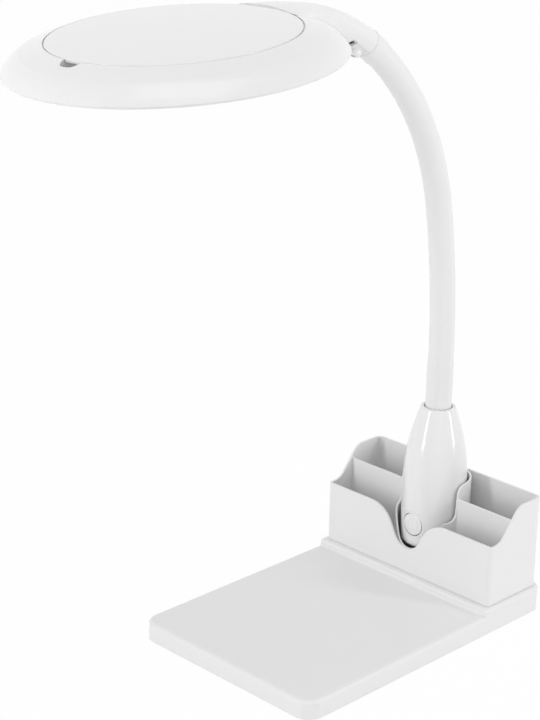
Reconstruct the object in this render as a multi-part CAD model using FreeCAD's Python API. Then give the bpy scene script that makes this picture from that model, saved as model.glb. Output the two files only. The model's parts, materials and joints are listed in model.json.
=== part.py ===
import FreeCAD, Part
import math
import os
from FreeCAD import Placement, Rotation, Vector

os.makedirs("parts", exist_ok=True)

# A desk lamp with a magnifying lens in its head and an organiser tray on its base.
# Lengths are in millimetres. X runs to the right, Y to the rear and Z up.
# The origin is the middle of the base's footprint, on the desk.

# Base plate with its raised plinth
base_width = 180.0
base_depth = 268.0
plate_top = 15.7
plinth_top = 21.2
plinth_length = 70.5
rim_lift = 0.4
base_wall = 2.4
front_corner_radius = 13.0
rear_corner_radius = 9.0
plinth_corner_radius = 3.0
plate_edge_round = 3.2
plinth_edge_round = 2.6
cove_radius = 2.2
pad_thickness = 1.6
cover_thickness = 2.0
inset_gap = 0.4

# Ballast and the screws that hold the base together
ballast_side_margin = 21.0
ballast_length = 172.0
ballast_thickness = 5.0
ballast_corner_radius = 6.0
ballast_front_margin = 14.0
boss_radius = 3.6
screw_shank_radius = 1.4
screw_head_radius = 2.6
screw_head_height = 1.2
screw_length = 9.0
pilot_gap = 0.05
base_screw_margin = 13.5
base_screw_rows = 3

# Power inlet in the plinth's rear face
inlet_width = 11.0
inlet_height = 11.0
inlet_depth = 12.0
inlet_nose_radius = 4.0
inlet_bore_radius = 3.0
inlet_bore_depth = 9.5
inlet_pin_radius = 1.0
inlet_pin_length = 9.0
fit_gap = 0.1

# Organiser tray
tray_side_margin = 3.3
tray_depth = 61.4
tray_wall = 1.8
tray_floor = 2.0
tray_front_corner_radius = 3.0
tray_rear_corner_radius = 6.0
tray_edge_round = 0.7
tray_front_height = 50.9
tray_rear_height = 76.5
tray_rear_margin = 3.3
slope_angle = 51.0
slope_radius = 14.0
slope_place_share = 0.365
divider_thickness = 1.5
divider_height = 65.6
divider_place_share = 0.43
notch_depth = 30.2
notch_bottom_radius = 14.0
notch_shoulder_radius = 25.0
notch_angle = 62.0
pocket_radius = 30.0
pocket_wall = 1.6
riser_angle = 86.0
riser_radius = 7.5
riser_drop = 5.1
tray_screw_inset = 22.7
tray_screw_head_height = 1.6

# Stem housing: a bottle shape that stands a little behind the middle of the pocket
stem_setback = 0.6
stem_height = 116.1
stem_lift = 19.9
stem_radius = 26.2
stem_wall = 2.2
stem_bottom_round = 3.4
stem_mouth_radius = 11.4
stem_neck_length = 9.0
stem_floor = 2.4
collar_lip = 0.8
stem_profile_shares = (
    (0.965, 0.0),
    (0.978, 0.06),
    (0.991, 0.16),
    (1.0, 0.28),
    (1.0, 0.42),
    (0.982, 0.549),
    (0.928, 0.661),
    (0.828, 0.778),
    (0.695, 0.886),
    (0.587, 0.962),
    (0.54, 0.993),
)

# Foot, threaded tube and coupler inside the stem
foot_flange_radius = 22.0
foot_flange_height = 3.0
foot_neck_radius = 13.0
anchor_radius = 5.0
anchor_bore_radius = 3.2
anchor_top = 52.0
nut_radius = 8.0
nut_height = 4.0
washer_thickness = 1.0
washer_radius = 9.5
coupler_radius = 10.0
coupler_height = 26.0
coupler_socket_depth = 4.0
coupler_window_width = 8.0
coupler_window_height = 16.0

# Power button and what it works
button_height = 60.9
button_radius = 9.2
button_gap = 0.6
button_face_setback = 24.9
button_cap_depth = 3.2
button_stem_radius = 2.2
button_travel = 1.5
button_round = 0.6
bezel_radius = 11.7
bezel_back_setback = 20.0
spring_radius = 6.4
spring_wire_radius = 0.35
spring_turns = 3
board_width = 20.0
board_height = 26.0
board_thickness = 1.2
board_setback = 15.2
post_radius = 0.8
switch_size = 8.0
switch_depth = 5.0
driver_size = 5.6
driver_depth = 3.0

# Centre line of the arm: a straight run, a wide arc and a tighter arc
arm_start = 155.0
arm_straight = 45.0
arm_wide_radius = 656.5
arm_wide_angle = 11.0
arm_tight_radius = 213.0
arm_tight_angle = 44.7
lower_ferrule_radius = 10.5
upper_ferrule_radius = 10.7
upper_ferrule_length = 14.0
tenon_seat_length = 2.0
tenon_gap = 0.45
tenon_length = 20.0
tenon_radius = 6.3
tenon_bore_depth = 3.6
ferrule_taper_length = 7.0
sleeve_radius = 9.95
sleeve_wall = 2.3
sleeve_end_gap = 0.3
core_radius = 6.3
core_bore_radius = 2.3
ball_radius = 5.4
ball_neck_radius = 3.4
ball_neck_length = 9.0
socket_gap = 0.3
bend_count = 4
bush_drop = 4.0
lead_radius = 1.2
lead_gap = 0.4
lead_bend_radius = 7.0

# Head: a round flat shell ahead of the arm's end and above it, a little nose down
neck_reach = 68.48
head_lift = 10.41
head_pitch = 4.96
head_roll = -1.3
rim_radius = 114.0
rim_bottom = 0.8
skirt_bulge_inset = 5.6
skirt_bulge_height = 7.9
ridge_inset = 13.0
ridge_height = 13.0
ring_rise = 5.3
head_wall = 2.2
lid_margin = 30.1
lid_gap = 0.9
lid_gap_shift = 0.4
recess_depth = 2.0
ledge_thickness = 2.2

# Lens and what holds it
lens_margin = 20.4
lens_gap = 0.4
lens_edge = 3.0
lens_sag = 3.5
lens_lip = 3.0
lens_lip_thickness = 1.6
collar_wall = 2.2
collar_bottom = 3.4
keeper_bottom = -0.8
keeper_thickness = 1.4
keeper_reach = 9.5
keeper_seat_reach = 6.3
keeper_bevel = 0.6
keeper_screw_count = 4
keeper_boss_radius = 2.4
small_screw_shank_radius = 1.1
small_screw_head_radius = 2.0
small_screw_head_height = 0.8
small_screw_length = 6.0

# Rim ring, diffuser and lights on the head's underside
rim_ring_bottom = -0.8
rim_ring_top = 0.6
rim_ring_width = 13.5
rim_ring_setback = 0.6
rim_ring_bevel = 0.9
rim_boss_radius = 2.5
rim_screw_inset = 8.0
rim_screw_count = 6
diffuser_thickness = 1.6
diffuser_inset = 1.1
diffuser_gap = 0.3
board_ring_inset = 4.5
board_ring_clearance = 1.2
board_ring_bottom = 6.0
board_ring_thickness = 1.2
led_size = 3.5
led_thickness = 0.8
led_row_shares = (0.3, 0.71)
leds_per_row = 24
board_post_radius = 2.4
board_post_count = 6

# Lid over the lens and its hinge at the rear
lid_thickness = 2.0
lid_dome = 4.4
lid_edge_round = 0.8
lid_rest_gap = 0.3
hinge_inset = 5.5
hinge_drop = 1.8
barrel_radius = 1.35
barrel_length = 16.2
ear_width = 3.6
ear_reach = 3.6
ear_depth = 2.6
hinge_side_gap = 0.3
hinge_swing_gap = 0.35
hinge_pin_radius = 0.65
hinge_bore_gap = 0.03
hinge_relief_radius = 2.7
well_half_width = 34.0
well_depth = 6.2
well_front_gap = 3.5
well_wall = 1.5

# Half-round notch for a finger, under the front of the lid
finger_radius = 8.4
finger_floor_drop = 7.6

# Neck from the head to the arm. Its line ends at a root inside the head, placed in the head's
# own directions. Each section is an ellipse, given by its shares of the way from the arm's end
# to the root: of the reach, the rise, the turn, the widening and the flattening.
neck_seam_radius = 10.4
neck_wall = 2.2
neck_root_inset = 34.7
neck_root_height = 13.7
neck_root_slope = -4.0
neck_root_half_width = 34.0
neck_root_half_height = 5.6
neck_point_count = 12
neck_shares = (
    (1.0, 1.0, 1.0, 1.0, 1.0),
    (0.729, 0.985, 0.696, 0.492, 0.792),
    (0.503, 0.776, 0.367, 0.161, 0.229),
    (0.237, 0.429, 0.165, 0.021, 0.021),
    (0.0, 0.0, 0.0, 0.0, 0.0),
)

# Cover under the neck, with a round boss for its screw
neck_cover_length = 16.3
neck_cover_drop = 7.5
neck_slot_length = 6.0
neck_cover_gap = 0.1
neck_boss_radius = 5.4
neck_boss_length = 3.8
neck_boss_round = 2.6
neck_boss_place = 7.2
neck_screw_radius = 2.2
neck_screw_head_height = 1.2
neck_screw_depth = 1.6
neck_screw_length = 9.0

overrun = 5.0
quarter = 90.0
up = Vector(0, 0, 1)
right = Vector(1, 0, 0)
front = Vector(0, -1, 0)

base_rear = base_depth / 2
base_front = -base_depth / 2
plinth_front = base_rear - plinth_length
cover_top = pad_thickness + cover_thickness
tray_rear = base_rear - tray_rear_margin
tray_front = tray_rear - tray_depth
tray_width = base_width - 2 * tray_side_margin
tray_low = plinth_top + tray_front_height
tray_high = plinth_top + tray_rear_height
floor_top = plinth_top + tray_floor
pocket_y = tray_rear - pocket_radius
pocket_inner_radius = pocket_radius - pocket_wall
stem_y = pocket_y + stem_setback
divider_y = tray_front + divider_place_share * tray_depth
stem_bottom = plinth_top + stem_lift
stem_top = stem_bottom + stem_height
coupler_top = anchor_top + coupler_height
bezel_back = stem_y - bezel_back_setback
button_y = stem_y - button_face_setback
board_y = stem_y - board_setback
inlet_z = cover_top + inlet_height / 2

wide_length = arm_wide_radius * math.radians(arm_wide_angle)
tight_length = arm_tight_radius * math.radians(arm_tight_angle)
arm_length = arm_straight + wide_length + tight_length
sleeve_start = arm_straight
sleeve_end = arm_length - upper_ferrule_length
bend_pitch = (sleeve_end - sleeve_start) / bend_count
bend_stations = [sleeve_start + (k + 1 / 2) * bend_pitch for k in range(bend_count)]

head_reach = rim_radius + neck_reach
ridge_radius = rim_radius - ridge_inset
rim_ring_inner_radius = rim_radius - rim_ring_width
rim_screw_circle = rim_radius - rim_screw_inset
lid_radius = rim_radius - lid_margin
lens_radius = lid_radius - lens_margin
keeper_radius = lens_radius + keeper_reach
keeper_seat_radius = lens_radius + keeper_seat_reach
hinge_place = lid_radius - hinge_inset
recess_radius = lid_radius + lid_gap
ring_top = ridge_height + ring_rise
ledge_top = ring_top - recess_depth
ledge_bottom = ledge_top - ledge_thickness
lid_bottom = ledge_top + lid_rest_gap
lid_top = lid_bottom + lid_thickness
lens_bore_radius = lens_radius + lens_gap
collar_radius = lens_bore_radius + collar_wall
lens_opening = lens_radius - lens_lip
lens_stop = ledge_top - lens_lip_thickness
lens_middle = lens_stop - lens_gap - lens_edge / 2
keeper_top = lens_middle - lens_edge / 2 - lens_gap
keeper_screw_circle = collar_radius + keeper_boss_radius / 2
diffuser_outer_radius = rim_ring_inner_radius + diffuser_inset * 2
diffuser_inner_radius = keeper_seat_radius + diffuser_gap
diffuser_bottom = rim_ring_top + fit_gap
board_inner_radius = keeper_seat_radius + board_ring_clearance
board_outer_radius = rim_screw_circle - rim_boss_radius - board_ring_inset
board_ring_top = board_ring_bottom + board_ring_thickness
board_post_circle = board_inner_radius + board_post_radius * 2
hinge_z = lid_top - hinge_drop
well_floor = ledge_top - well_depth
well_front = hinge_place - well_front_gap
finger_floor = ring_top - finger_floor_drop
head_turn = Rotation(right, head_pitch).multiply(Rotation(Vector(0, 1, 0), head_roll))


def save(name, shape):
    """Writes one sub-part."""
    shape.exportStep("parts/" + name + ".step")


def fuse(shapes):
    """One solid out of several that meet."""
    shapes = list(shapes)
    joined = shapes[0].fuse(shapes[1:]) if len(shapes) > 1 else shapes[0]
    joined = joined.removeSplitter()
    return joined.Solids[0] if len(joined.Solids) == 1 else joined


def group(shapes):
    """Several separate solids under one name."""
    return Part.makeCompound(list(shapes))


def box(x0, x1, y0, y1, z0, z1):
    """A box between two corners."""
    return Part.makeBox(x1 - x0, y1 - y0, z1 - z0, Vector(x0, y0, z0))


def rod(radius, start, end):
    """A round bar between two points."""
    return Part.makeCylinder(radius, start.distanceToPoint(end), start, end - start)


def upright(radius, x, y, z0, z1):
    """An upright round bar."""
    return Part.makeCylinder(radius, z1 - z0, Vector(x, y, z0), up)


def outline(half_width, y0, y1, front_radius, rear_radius, z):
    """A rectangle with rounded corners, as a closed wire."""
    corners = (
        (half_width - front_radius, y0 + front_radius, front_radius, -quarter),
        (half_width - rear_radius, y1 - rear_radius, rear_radius, 0),
        (rear_radius - half_width, y1 - rear_radius, rear_radius, quarter),
        (front_radius - half_width, y0 + front_radius, front_radius, 2 * quarter),
    )
    arcs = []
    for x, y, radius, start in corners:
        turns = [math.radians(start + k * quarter / 2) for k in range(3)]
        points = [Vector(x + radius * math.cos(t), y + radius * math.sin(t), z) for t in turns]
        arcs.append((points[0], points[2], Part.Arc(*points).toShape()))
    edges = []
    for k, (_, end, arc) in enumerate(arcs):
        edges += [arc, Part.makeLine(end, arcs[(k + 1) % len(arcs)][0])]
    return Part.Wire(edges)


def slab(half_width, y0, y1, front_radius, rear_radius, z0, z1):
    """A rounded rectangle from one height to another."""
    wire = outline(half_width, y0, y1, front_radius, rear_radius, z0)
    return Part.Face(wire).extrude(Vector(0, 0, z1 - z0))


def round_level(shape, radius, z):
    """Rounds every edge that lies at height z."""
    tiny = radius * 1e-4
    level = [e for e in shape.Edges if abs(e.BoundBox.ZMin - z) < tiny and abs(e.BoundBox.ZMax - z) < tiny]
    return shape.makeFillet(radius, level)


def spin(points, axis_point=Vector(0, 0, 0)):
    """A solid of revolution about Z. A run of three points between bars is an arc."""
    edges = []
    for run in points:
        places = [axis_point + Vector(r, 0, z) for r, z in run]
        edges.append(Part.makeLine(*places) if len(places) == 2 else Part.Arc(*places).toShape())
    face = Part.Face(Part.Wire(edges))
    return face.revolve(axis_point, up, 4 * quarter)


def ring_of(profile):
    """A solid of revolution about Z from a polygon of (radius, height) corners."""
    return spin([(profile[k - 1], profile[k]) for k in range(len(profile))])


def washer_shape(inner, outer, z0, z1):
    """A flat ring about Z."""
    return ring_of(((inner, z0), (outer, z0), (outer, z1), (inner, z1)))


def around(count, radius, start=0.0):
    """Places evenly spaced on a circle about Z, as (angle, x, y)."""
    for k in range(count):
        turn = start + 4 * quarter * k / count
        yield turn, radius * math.cos(math.radians(turn)), radius * math.sin(math.radians(turn))


def in_head(shape):
    """Moves a piece that is drawn about the head's own middle to its place."""
    moved = shape.copy()
    moved.Placement = head_placement().multiply(moved.Placement)
    return moved


def slope_cutter(y_middle, low, high, angle, radius, y_far):
    """What is cut away in front of a slope that climbs from low to high, with rounded ends."""
    lean = math.radians(angle)
    flank = (high - low - 2 * radius * (1 - math.cos(lean))) / math.sin(lean)
    half = radius * math.sin(lean) + flank * math.cos(lean) / 2
    foot, head = y_middle - half, y_middle + half

    def on_low(turn):
        return Vector(0, foot + radius * math.sin(turn), low + radius * (1 - math.cos(turn)))

    def on_high(turn):
        return Vector(0, head - radius * math.sin(turn), high - radius * (1 - math.cos(turn)))

    edges = [
        Part.makeLine(Vector(0, y_far, low), on_low(0)),
        Part.Arc(on_low(0), on_low(lean / 2), on_low(lean)).toShape(),
        Part.makeLine(on_low(lean), on_high(lean)),
        Part.Arc(on_high(lean), on_high(lean / 2), on_high(0)).toShape(),
        Part.makeLine(on_high(0), Vector(0, head, high + overrun)),
        Part.makeLine(Vector(0, head, high + overrun), Vector(0, y_far, high + overrun)),
        Part.makeLine(Vector(0, y_far, high + overrun), Vector(0, y_far, low)),
    ]
    face = Part.Face(Part.Wire(edges))
    face.translate(Vector(-tray_width, 0, 0))
    return face.extrude(Vector(2 * tray_width, 0, 0))


def notch_cutter(y0, y1):
    """The rounded gap in the tray's front, from one depth to another."""
    lean = math.radians(notch_angle)
    bottom = tray_low - notch_depth
    rounding = (notch_bottom_radius + notch_shoulder_radius) * (1 - math.cos(lean))
    flank = (notch_depth - rounding) / math.sin(lean)
    reach = notch_bottom_radius * math.sin(lean) + flank * math.cos(lean)
    edge = reach + notch_shoulder_radius * math.sin(lean)

    def low(turn):
        rise = notch_bottom_radius * (1 - math.cos(turn))
        return Vector(notch_bottom_radius * math.sin(turn), y0, bottom + rise)

    def high(turn, side):
        drop = notch_shoulder_radius * (1 - math.cos(turn))
        return Vector(side * (edge - notch_shoulder_radius * math.sin(turn)), y0, tray_low - drop)

    top = tray_high + overrun
    edges = [
        Part.Arc(low(-lean), low(0), low(lean)).toShape(),
        Part.makeLine(low(lean), high(lean, 1)),
        Part.Arc(high(lean, 1), high(lean / 2, 1), high(0, 1)).toShape(),
        Part.makeLine(high(0, 1), Vector(edge, y0, top)),
        Part.makeLine(Vector(edge, y0, top), Vector(-edge, y0, top)),
        Part.makeLine(Vector(-edge, y0, top), high(0, -1)),
        Part.Arc(high(0, -1), high(lean / 2, -1), high(lean, -1)).toShape(),
        Part.makeLine(high(lean, -1), low(-lean)),
    ]
    return Part.Face(Part.Wire(edges)).extrude(Vector(0, y1 - y0, 0))


def base_screw_places():
    """Where the screws hold the bottom cover, along both sides of the base."""
    side = base_width / 2 - base_screw_margin
    first = base_front + base_screw_margin
    last = base_rear - base_screw_margin
    for k in range(base_screw_rows):
        y = first + (last - first) * k / (base_screw_rows - 1)
        for x in (-side, side):
            yield x, y


def base_body(inset, z0, plate_z, plinth_z, plate_round, plinth_round):
    """The base's stepped block, drawn in by an inset all round."""
    half = base_width / 2 - inset
    y0, y1 = base_front + inset, base_rear - inset
    rear = rear_corner_radius - inset
    plate = slab(half, y0, y1, front_corner_radius - inset, rear, z0, plate_z)
    plinth = slab(half, plinth_front + inset, y1, plinth_corner_radius, rear, z0, plinth_z)
    if plate_round:
        plate = round_level(plate, plate_round, plate_z)
        plinth = round_level(plinth, plinth_round, plinth_z)
    return plate, plinth


def base_top_shell():
    """The white upper casing of the base, open below."""
    plate, plinth = base_body(0, rim_lift, plate_top, plinth_top, plate_edge_round, plinth_edge_round)
    reach = base_width / 2 - plate_edge_round
    cove_front, cove_top = plinth_front - cove_radius, plate_top + cove_radius
    corner = box(-reach, reach, cove_front, plinth_front, plate_top - cove_radius, cove_top)
    middle = Vector(0, cove_front, cove_top)
    hollow = rod(cove_radius, middle - right * base_width, middle + right * base_width)
    shell = fuse([plate, plinth, corner.cut(hollow)])
    inner_plate, inner_plinth = base_body(base_wall, 0, plate_top - base_wall, plinth_top - base_wall, 0, 0)
    shell = shell.cut(inner_plate.fuse(inner_plinth))
    bosses = []
    for x, y in base_screw_places():
        top = plinth_top if y > plinth_front else plate_top
        bosses.append(upright(boss_radius, x, y, cover_top, top - base_wall / 2))
    shell = fuse([shell] + bosses)
    pilot = screw_shank_radius + pilot_gap
    for x, y in base_screw_places():
        shell = shell.cut(upright(pilot, x, y, 0, pad_thickness + screw_length + pilot_gap))
    nose = rod(inlet_nose_radius + fit_gap, Vector(0, base_rear - base_wall - overrun, inlet_z),
               Vector(0, base_rear + overrun, inlet_z))
    shell = shell.cut(nose)
    shell = shell.cut(upright(anchor_radius + fit_gap, 0, stem_y, 0, plinth_top + overrun))
    for x, y in tray_screw_places():
        shell = shell.cut(upright(screw_shank_radius + fit_gap, x, y, plate_top, plinth_top + overrun))
    return shell


def base_flat(z0, z1):
    """A flat sheet that fits inside the base's rim."""
    inset = base_wall + inset_gap
    half = base_width / 2 - inset
    return slab(half, base_front + inset, base_rear - inset, front_corner_radius - inset,
                rear_corner_radius - inset, z0, z1)


def base_bottom_cover():
    """The flat cover under the base, with sunk screw holes."""
    cover = base_flat(pad_thickness, cover_top)
    for x, y in base_screw_places():
        head = upright(screw_head_radius + fit_gap, x, y, 0, pad_thickness + screw_head_height)
        shank = upright(screw_shank_radius + fit_gap, x, y, 0, cover_top + overrun)
        cover = cover.cut(head.fuse(shank))
    return cover


def screw(x, y, z_bottom, head_radius, head_height, shank_radius, length):
    """A screw driven upwards, its head at the bottom."""
    head = upright(head_radius, x, y, z_bottom, z_bottom + head_height)
    return fuse([head, upright(shank_radius, x, y, z_bottom, z_bottom + length)])


def base_screws():
    """The screws that hold the bottom cover."""
    sizes = (screw_head_radius, screw_head_height, screw_shank_radius, screw_length)
    return group(screw(x, y, pad_thickness, *sizes) for x, y in base_screw_places())


def ballast_plate():
    """The iron weight that keeps the lamp standing."""
    y0 = base_front + ballast_front_margin
    return slab(base_width / 2 - ballast_side_margin, y0, y0 + ballast_length, ballast_corner_radius,
                ballast_corner_radius, cover_top, cover_top + ballast_thickness)


def dc_inlet():
    """The socket for a power plug, its nose flush with the plinth's rear face."""
    y1 = base_rear - base_wall
    body = box(-inlet_width / 2, inlet_width / 2, y1 - inlet_depth, y1, cover_top, cover_top + inlet_height)
    nose = rod(inlet_nose_radius, Vector(0, y1 - base_wall, inlet_z), Vector(0, base_rear, inlet_z))
    bore = rod(inlet_bore_radius, Vector(0, base_rear - inlet_bore_depth, inlet_z),
               Vector(0, base_rear + overrun, inlet_z))
    return fuse([body, nose]).cut(bore)


def dc_inlet_pin():
    """The contact pin in the middle of the inlet."""
    start = base_rear - inlet_bore_depth
    return rod(inlet_pin_radius, Vector(0, start, inlet_z), Vector(0, start + inlet_pin_length, inlet_z))


def tray_screw_places():
    """Where screws hold the tray down on the plinth."""
    y = (divider_y + tray_rear) / 2
    x = tray_width / 2 - tray_screw_inset
    return ((-x, y), (x, y))


def organiser_tray():
    """The open tray: outer walls, two dividers and the round pocket for the stem."""
    half = tray_width / 2
    block = slab(half, tray_front, tray_rear, tray_front_corner_radius, tray_rear_corner_radius,
                 plinth_top, tray_high)
    block = round_level(block, tray_edge_round, plinth_top)
    room = slab(half - tray_wall, tray_front + tray_wall, tray_rear - tray_wall,
                tray_front_corner_radius - tray_wall, tray_rear_corner_radius - tray_wall,
                floor_top, tray_high + overrun)
    slope_y = tray_front + slope_place_share * tray_depth
    walls = block.cut(room).cut(slope_cutter(slope_y, tray_low, tray_high, slope_angle, slope_radius,
                                            tray_front - overrun))
    divider = box(-half + tray_wall, half - tray_wall, divider_y, divider_y + divider_thickness, floor_top,
                  plinth_top + divider_height)
    post = upright(pocket_radius, 0, pocket_y, plinth_top + tray_edge_round, tray_high)
    post = post.cut(slope_cutter(divider_y, tray_low - riser_drop, tray_high, riser_angle, riser_radius,
                                 tray_front - overrun))
    tray = fuse([walls, divider, post])
    tray = tray.cut(upright(pocket_inner_radius, 0, pocket_y, floor_top, tray_high + overrun))
    tray = tray.cut(notch_cutter(tray_front - overrun, divider_y - riser_radius))
    tray = tray.cut(upright(anchor_radius + fit_gap, 0, stem_y, 0, floor_top + overrun))
    for x, y in tray_screw_places():
        tray = tray.cut(upright(screw_shank_radius + fit_gap, x, y, 0, floor_top + overrun))
    return tray.removeSplitter()


def tray_screws():
    """Screws through the tray's floor into the plinth, their heads inside the tray."""
    found = []
    for x, y in tray_screw_places():
        head = upright(screw_head_radius, x, y, floor_top, floor_top + tray_screw_head_height)
        shank = upright(screw_shank_radius, x, y, floor_top - screw_length / 2, floor_top)
        found.append(fuse([head, shank]))
    return group(found)


def stem_point(share, wall=0.0):
    """A point of the stem's profile as (radius, height over its bottom)."""
    return share[0] * stem_radius - wall, share[1] * stem_height


def stem_solid(wall):
    """The stem as a solid of revolution, drawn in by a wall."""
    points = [stem_point(s, wall) for s in stem_profile_shares]
    if wall:
        floor, top = stem_floor, stem_height - stem_neck_length
        points = [(r, z) for r, z in points if floor + wall < z < top - wall]
        points = [(points[0][0] - wall, floor)] + points + [(stem_mouth_radius, top)]
    curve = Part.BSplineCurve()
    curve.interpolate([Vector(r, 0, z) for r, z in points])
    low, high = points[0][1], points[-1][1]
    edges = [
        Part.makeLine(Vector(0, 0, low), Vector(points[0][0], 0, low)),
        curve.toShape(),
    ]
    if wall:
        edges.append(Part.makeLine(Vector(points[-1][0], 0, high), Vector(0, 0, high)))
    else:
        lip = Vector(points[-1][0] - collar_lip, 0, stem_height)
        edges.append(Part.makeLine(Vector(points[-1][0], 0, high), lip))
        edges.append(Part.makeLine(lip, Vector(0, 0, stem_height)))
    edges.append(Part.makeLine(edges[-1].Vertexes[-1].Point, Vector(0, 0, low)))
    solid = Part.Face(Part.Wire(edges)).revolve(Vector(0, 0, 0), up, 4 * quarter)
    if not wall:
        solid = round_level(solid, stem_bottom_round, 0)
    solid.translate(Vector(0, stem_y, stem_bottom))
    return solid


def stem_housing():
    """The glossy hollow stem with the round hole for the button's bezel."""
    shell = stem_solid(0).cut(stem_solid(stem_wall))
    shell = shell.cut(bezel_bar(bezel_radius + fit_gap))
    shell = shell.cut(upright(stem_mouth_radius, 0, stem_y, stem_top - stem_neck_length - overrun,
                              stem_top + overrun))
    shell = shell.cut(upright(foot_neck_radius + fit_gap, 0, stem_y, 0, stem_bottom + stem_floor + overrun))
    return max(shell.Solids, key=lambda s: s.Volume)


def bezel_bar(radius):
    """A bar from in front of the stem to the back of the bezel."""
    start = Vector(0, stem_y - stem_radius - overrun, button_height)
    return rod(radius, start, Vector(0, bezel_back, button_height))


def stem_foot():
    """The foot that stands on the tray's floor and carries the stem."""
    flange = upright(foot_flange_radius, 0, stem_y, floor_top, floor_top + foot_flange_height)
    neck = upright(foot_neck_radius, 0, stem_y, floor_top, stem_bottom + stem_floor)
    seat = upright(foot_neck_radius + stem_floor, 0, stem_y, floor_top, stem_bottom)
    return fuse([flange, neck, seat]).cut(upright(anchor_radius + fit_gap, 0, stem_y, 0, anchor_top))


def stem_anchor_tube():
    """The threaded tube that ties the stem to the base."""
    bottom = plinth_top - base_wall - washer_thickness - nut_height
    tube = upright(anchor_radius, 0, stem_y, bottom, anchor_top + coupler_socket_depth)
    return tube.cut(upright(anchor_bore_radius, 0, stem_y, 0, anchor_top + coupler_height))


def stem_washer():
    """The washer under the plinth's skin."""
    top = plinth_top - base_wall
    ring = upright(washer_radius, 0, stem_y, top - washer_thickness, top)
    return ring.cut(upright(anchor_radius + fit_gap, 0, stem_y, 0, top + overrun))


def stem_nut():
    """The six-sided nut on the threaded tube."""
    top = plinth_top - base_wall - washer_thickness
    corners = [Vector(x, y + stem_y, top - nut_height) for _, x, y in around(6, nut_radius)]
    nut = Part.Face(Part.makePolygon(corners + corners[:1])).extrude(Vector(0, 0, nut_height))
    return nut.cut(upright(anchor_radius + pilot_gap, 0, stem_y, 0, top + overrun))


def stem_coupler():
    """Joins the threaded tube to the arm's core, with a window for the leads."""
    body = upright(coupler_radius, 0, stem_y, anchor_top, coupler_top)
    middle = (anchor_top + coupler_socket_depth + coupler_top) / 2
    half = coupler_window_width / 2
    window = box(-half, half, stem_y - coupler_radius - overrun, stem_y + half,
                 middle - coupler_window_height / 2, middle + coupler_window_height / 2)
    socket = upright(anchor_radius + pilot_gap, 0, stem_y, 0, anchor_top + coupler_socket_depth)
    bore = upright(core_bore_radius, 0, stem_y, anchor_top, coupler_top + overrun)
    return body.cut(window.fuse([socket, bore]))


def collar_bush():
    """The bush that steadies the arm in the stem's mouth."""
    top = stem_top - bush_drop
    ring = upright(stem_mouth_radius - fit_gap, 0, stem_y, top - stem_neck_length / 2, top)
    return ring.cut(upright(lower_ferrule_radius + fit_gap, 0, stem_y, 0, top + overrun))


def button_bezel():
    """The round bezel, flush with the stem, with posts that carry the switch board."""
    plate = bezel_bar(bezel_radius).common(stem_solid(0)).cut(bezel_bar(button_radius + button_gap))
    posts = []
    for side in (-1, 1):
        x = side * (bezel_radius + button_radius + button_gap) / 2
        start = Vector(x, bezel_back - post_radius, button_height)
        posts.append(rod(post_radius, start, Vector(x, board_y, button_height)))
    return fuse([plate] + posts)


def power_button():
    """The round push button, its cap open at the back and a stem that meets the switch."""
    middle = Vector(0, 0, button_height)
    back = middle + Vector(0, button_y + button_cap_depth, 0)
    face = rod(button_radius, middle + Vector(0, button_y, 0), back)
    tiny = button_round / 10
    rim = [e for e in face.Edges if e.BoundBox.YMax < button_y + tiny and e.BoundBox.XLength > button_radius]
    face = face.makeFillet(button_round, rim)
    floor = middle + Vector(0, button_y + button_round + stem_wall / 2, 0)
    hollow = rod(button_radius - stem_wall / 2, floor, back - front * overrun)
    tip = board_y - switch_depth - button_travel - fit_gap
    stem = rod(button_stem_radius, middle + Vector(0, button_y + button_round, 0), middle + Vector(0, tip, 0))
    return fuse([face.cut(hollow), stem])


def biarc(start, start_way, end, end_way):
    """Two arcs that join two points in given directions and meet smoothly."""
    across, ways = end - start, start_way + end_way
    turn = 2 * (1 - start_way.dot(end_way))
    reach = (math.sqrt(across.dot(ways) ** 2 + turn * across.dot(across)) - across.dot(ways)) / turn
    corners = (start + start_way * reach, end - end_way * reach)
    meeting = (corners[0] + corners[1]) / 2
    arcs = []
    for a, corner, b in ((start, corners[0], meeting), (meeting, corners[1], end)):
        chord = (a + b) / 2
        half, rise = a.distanceToPoint(b) / 2, corner - chord
        sag = half * math.tan(math.atan(rise.Length / half) / 2)
        arcs.append(Part.Arc(a, chord + rise * (sag / rise.Length), b).toShape())
    return arcs


def button_spring():
    """The small spring round the button's stem that pushes the button back out."""
    start = button_y + button_round + stem_wall / 2 + spring_wire_radius + fit_gap
    end = board_y - spring_wire_radius - fit_gap
    steps = 4 * spring_turns
    rise = (end - start) / math.radians(steps * quarter)
    places, ways = [], []
    for k in range(steps + 1):
        turn = math.radians(k * quarter)
        x, z = math.cos(turn), math.sin(turn)
        places.append(Vector(spring_radius * x, start + rise * turn, button_height + spring_radius * z))
        ways.append(Vector(-spring_radius * z, rise, spring_radius * x).normalize())
    arcs = []
    for k in range(steps):
        arcs += biarc(places[k], ways[k], places[k + 1], ways[k + 1])
    section = Part.Wire(Part.makeCircle(spring_wire_radius, places[0], ways[0]))
    wire = Part.Wire(arcs).makePipeShell([section], True, False)
    pitch = (end - start) / spring_turns
    print("spring: least gap between turns", round(pitch - 2 * spring_wire_radius, 3))
    return wire


def switch_board():
    """The circuit board behind the button."""
    return box(-board_width / 2, board_width / 2, board_y, board_y + board_thickness,
               button_height - board_height / 2, button_height + board_height / 2)


def push_switch():
    """The switch that the button's stem presses."""
    half = switch_size / 2
    return box(-half, half, board_y - switch_depth, board_y, button_height - half, button_height + half)


def led_driver():
    """The driver chip and coil on the board, above and below the switch."""
    half = driver_size / 2
    found = []
    for side in (-1, 1):
        z = button_height + side * (board_height / 2 - half - fit_gap)
        found.append(box(-half, half, board_y - driver_depth, board_y, z - half, z + half))
    return group(found)


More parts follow.
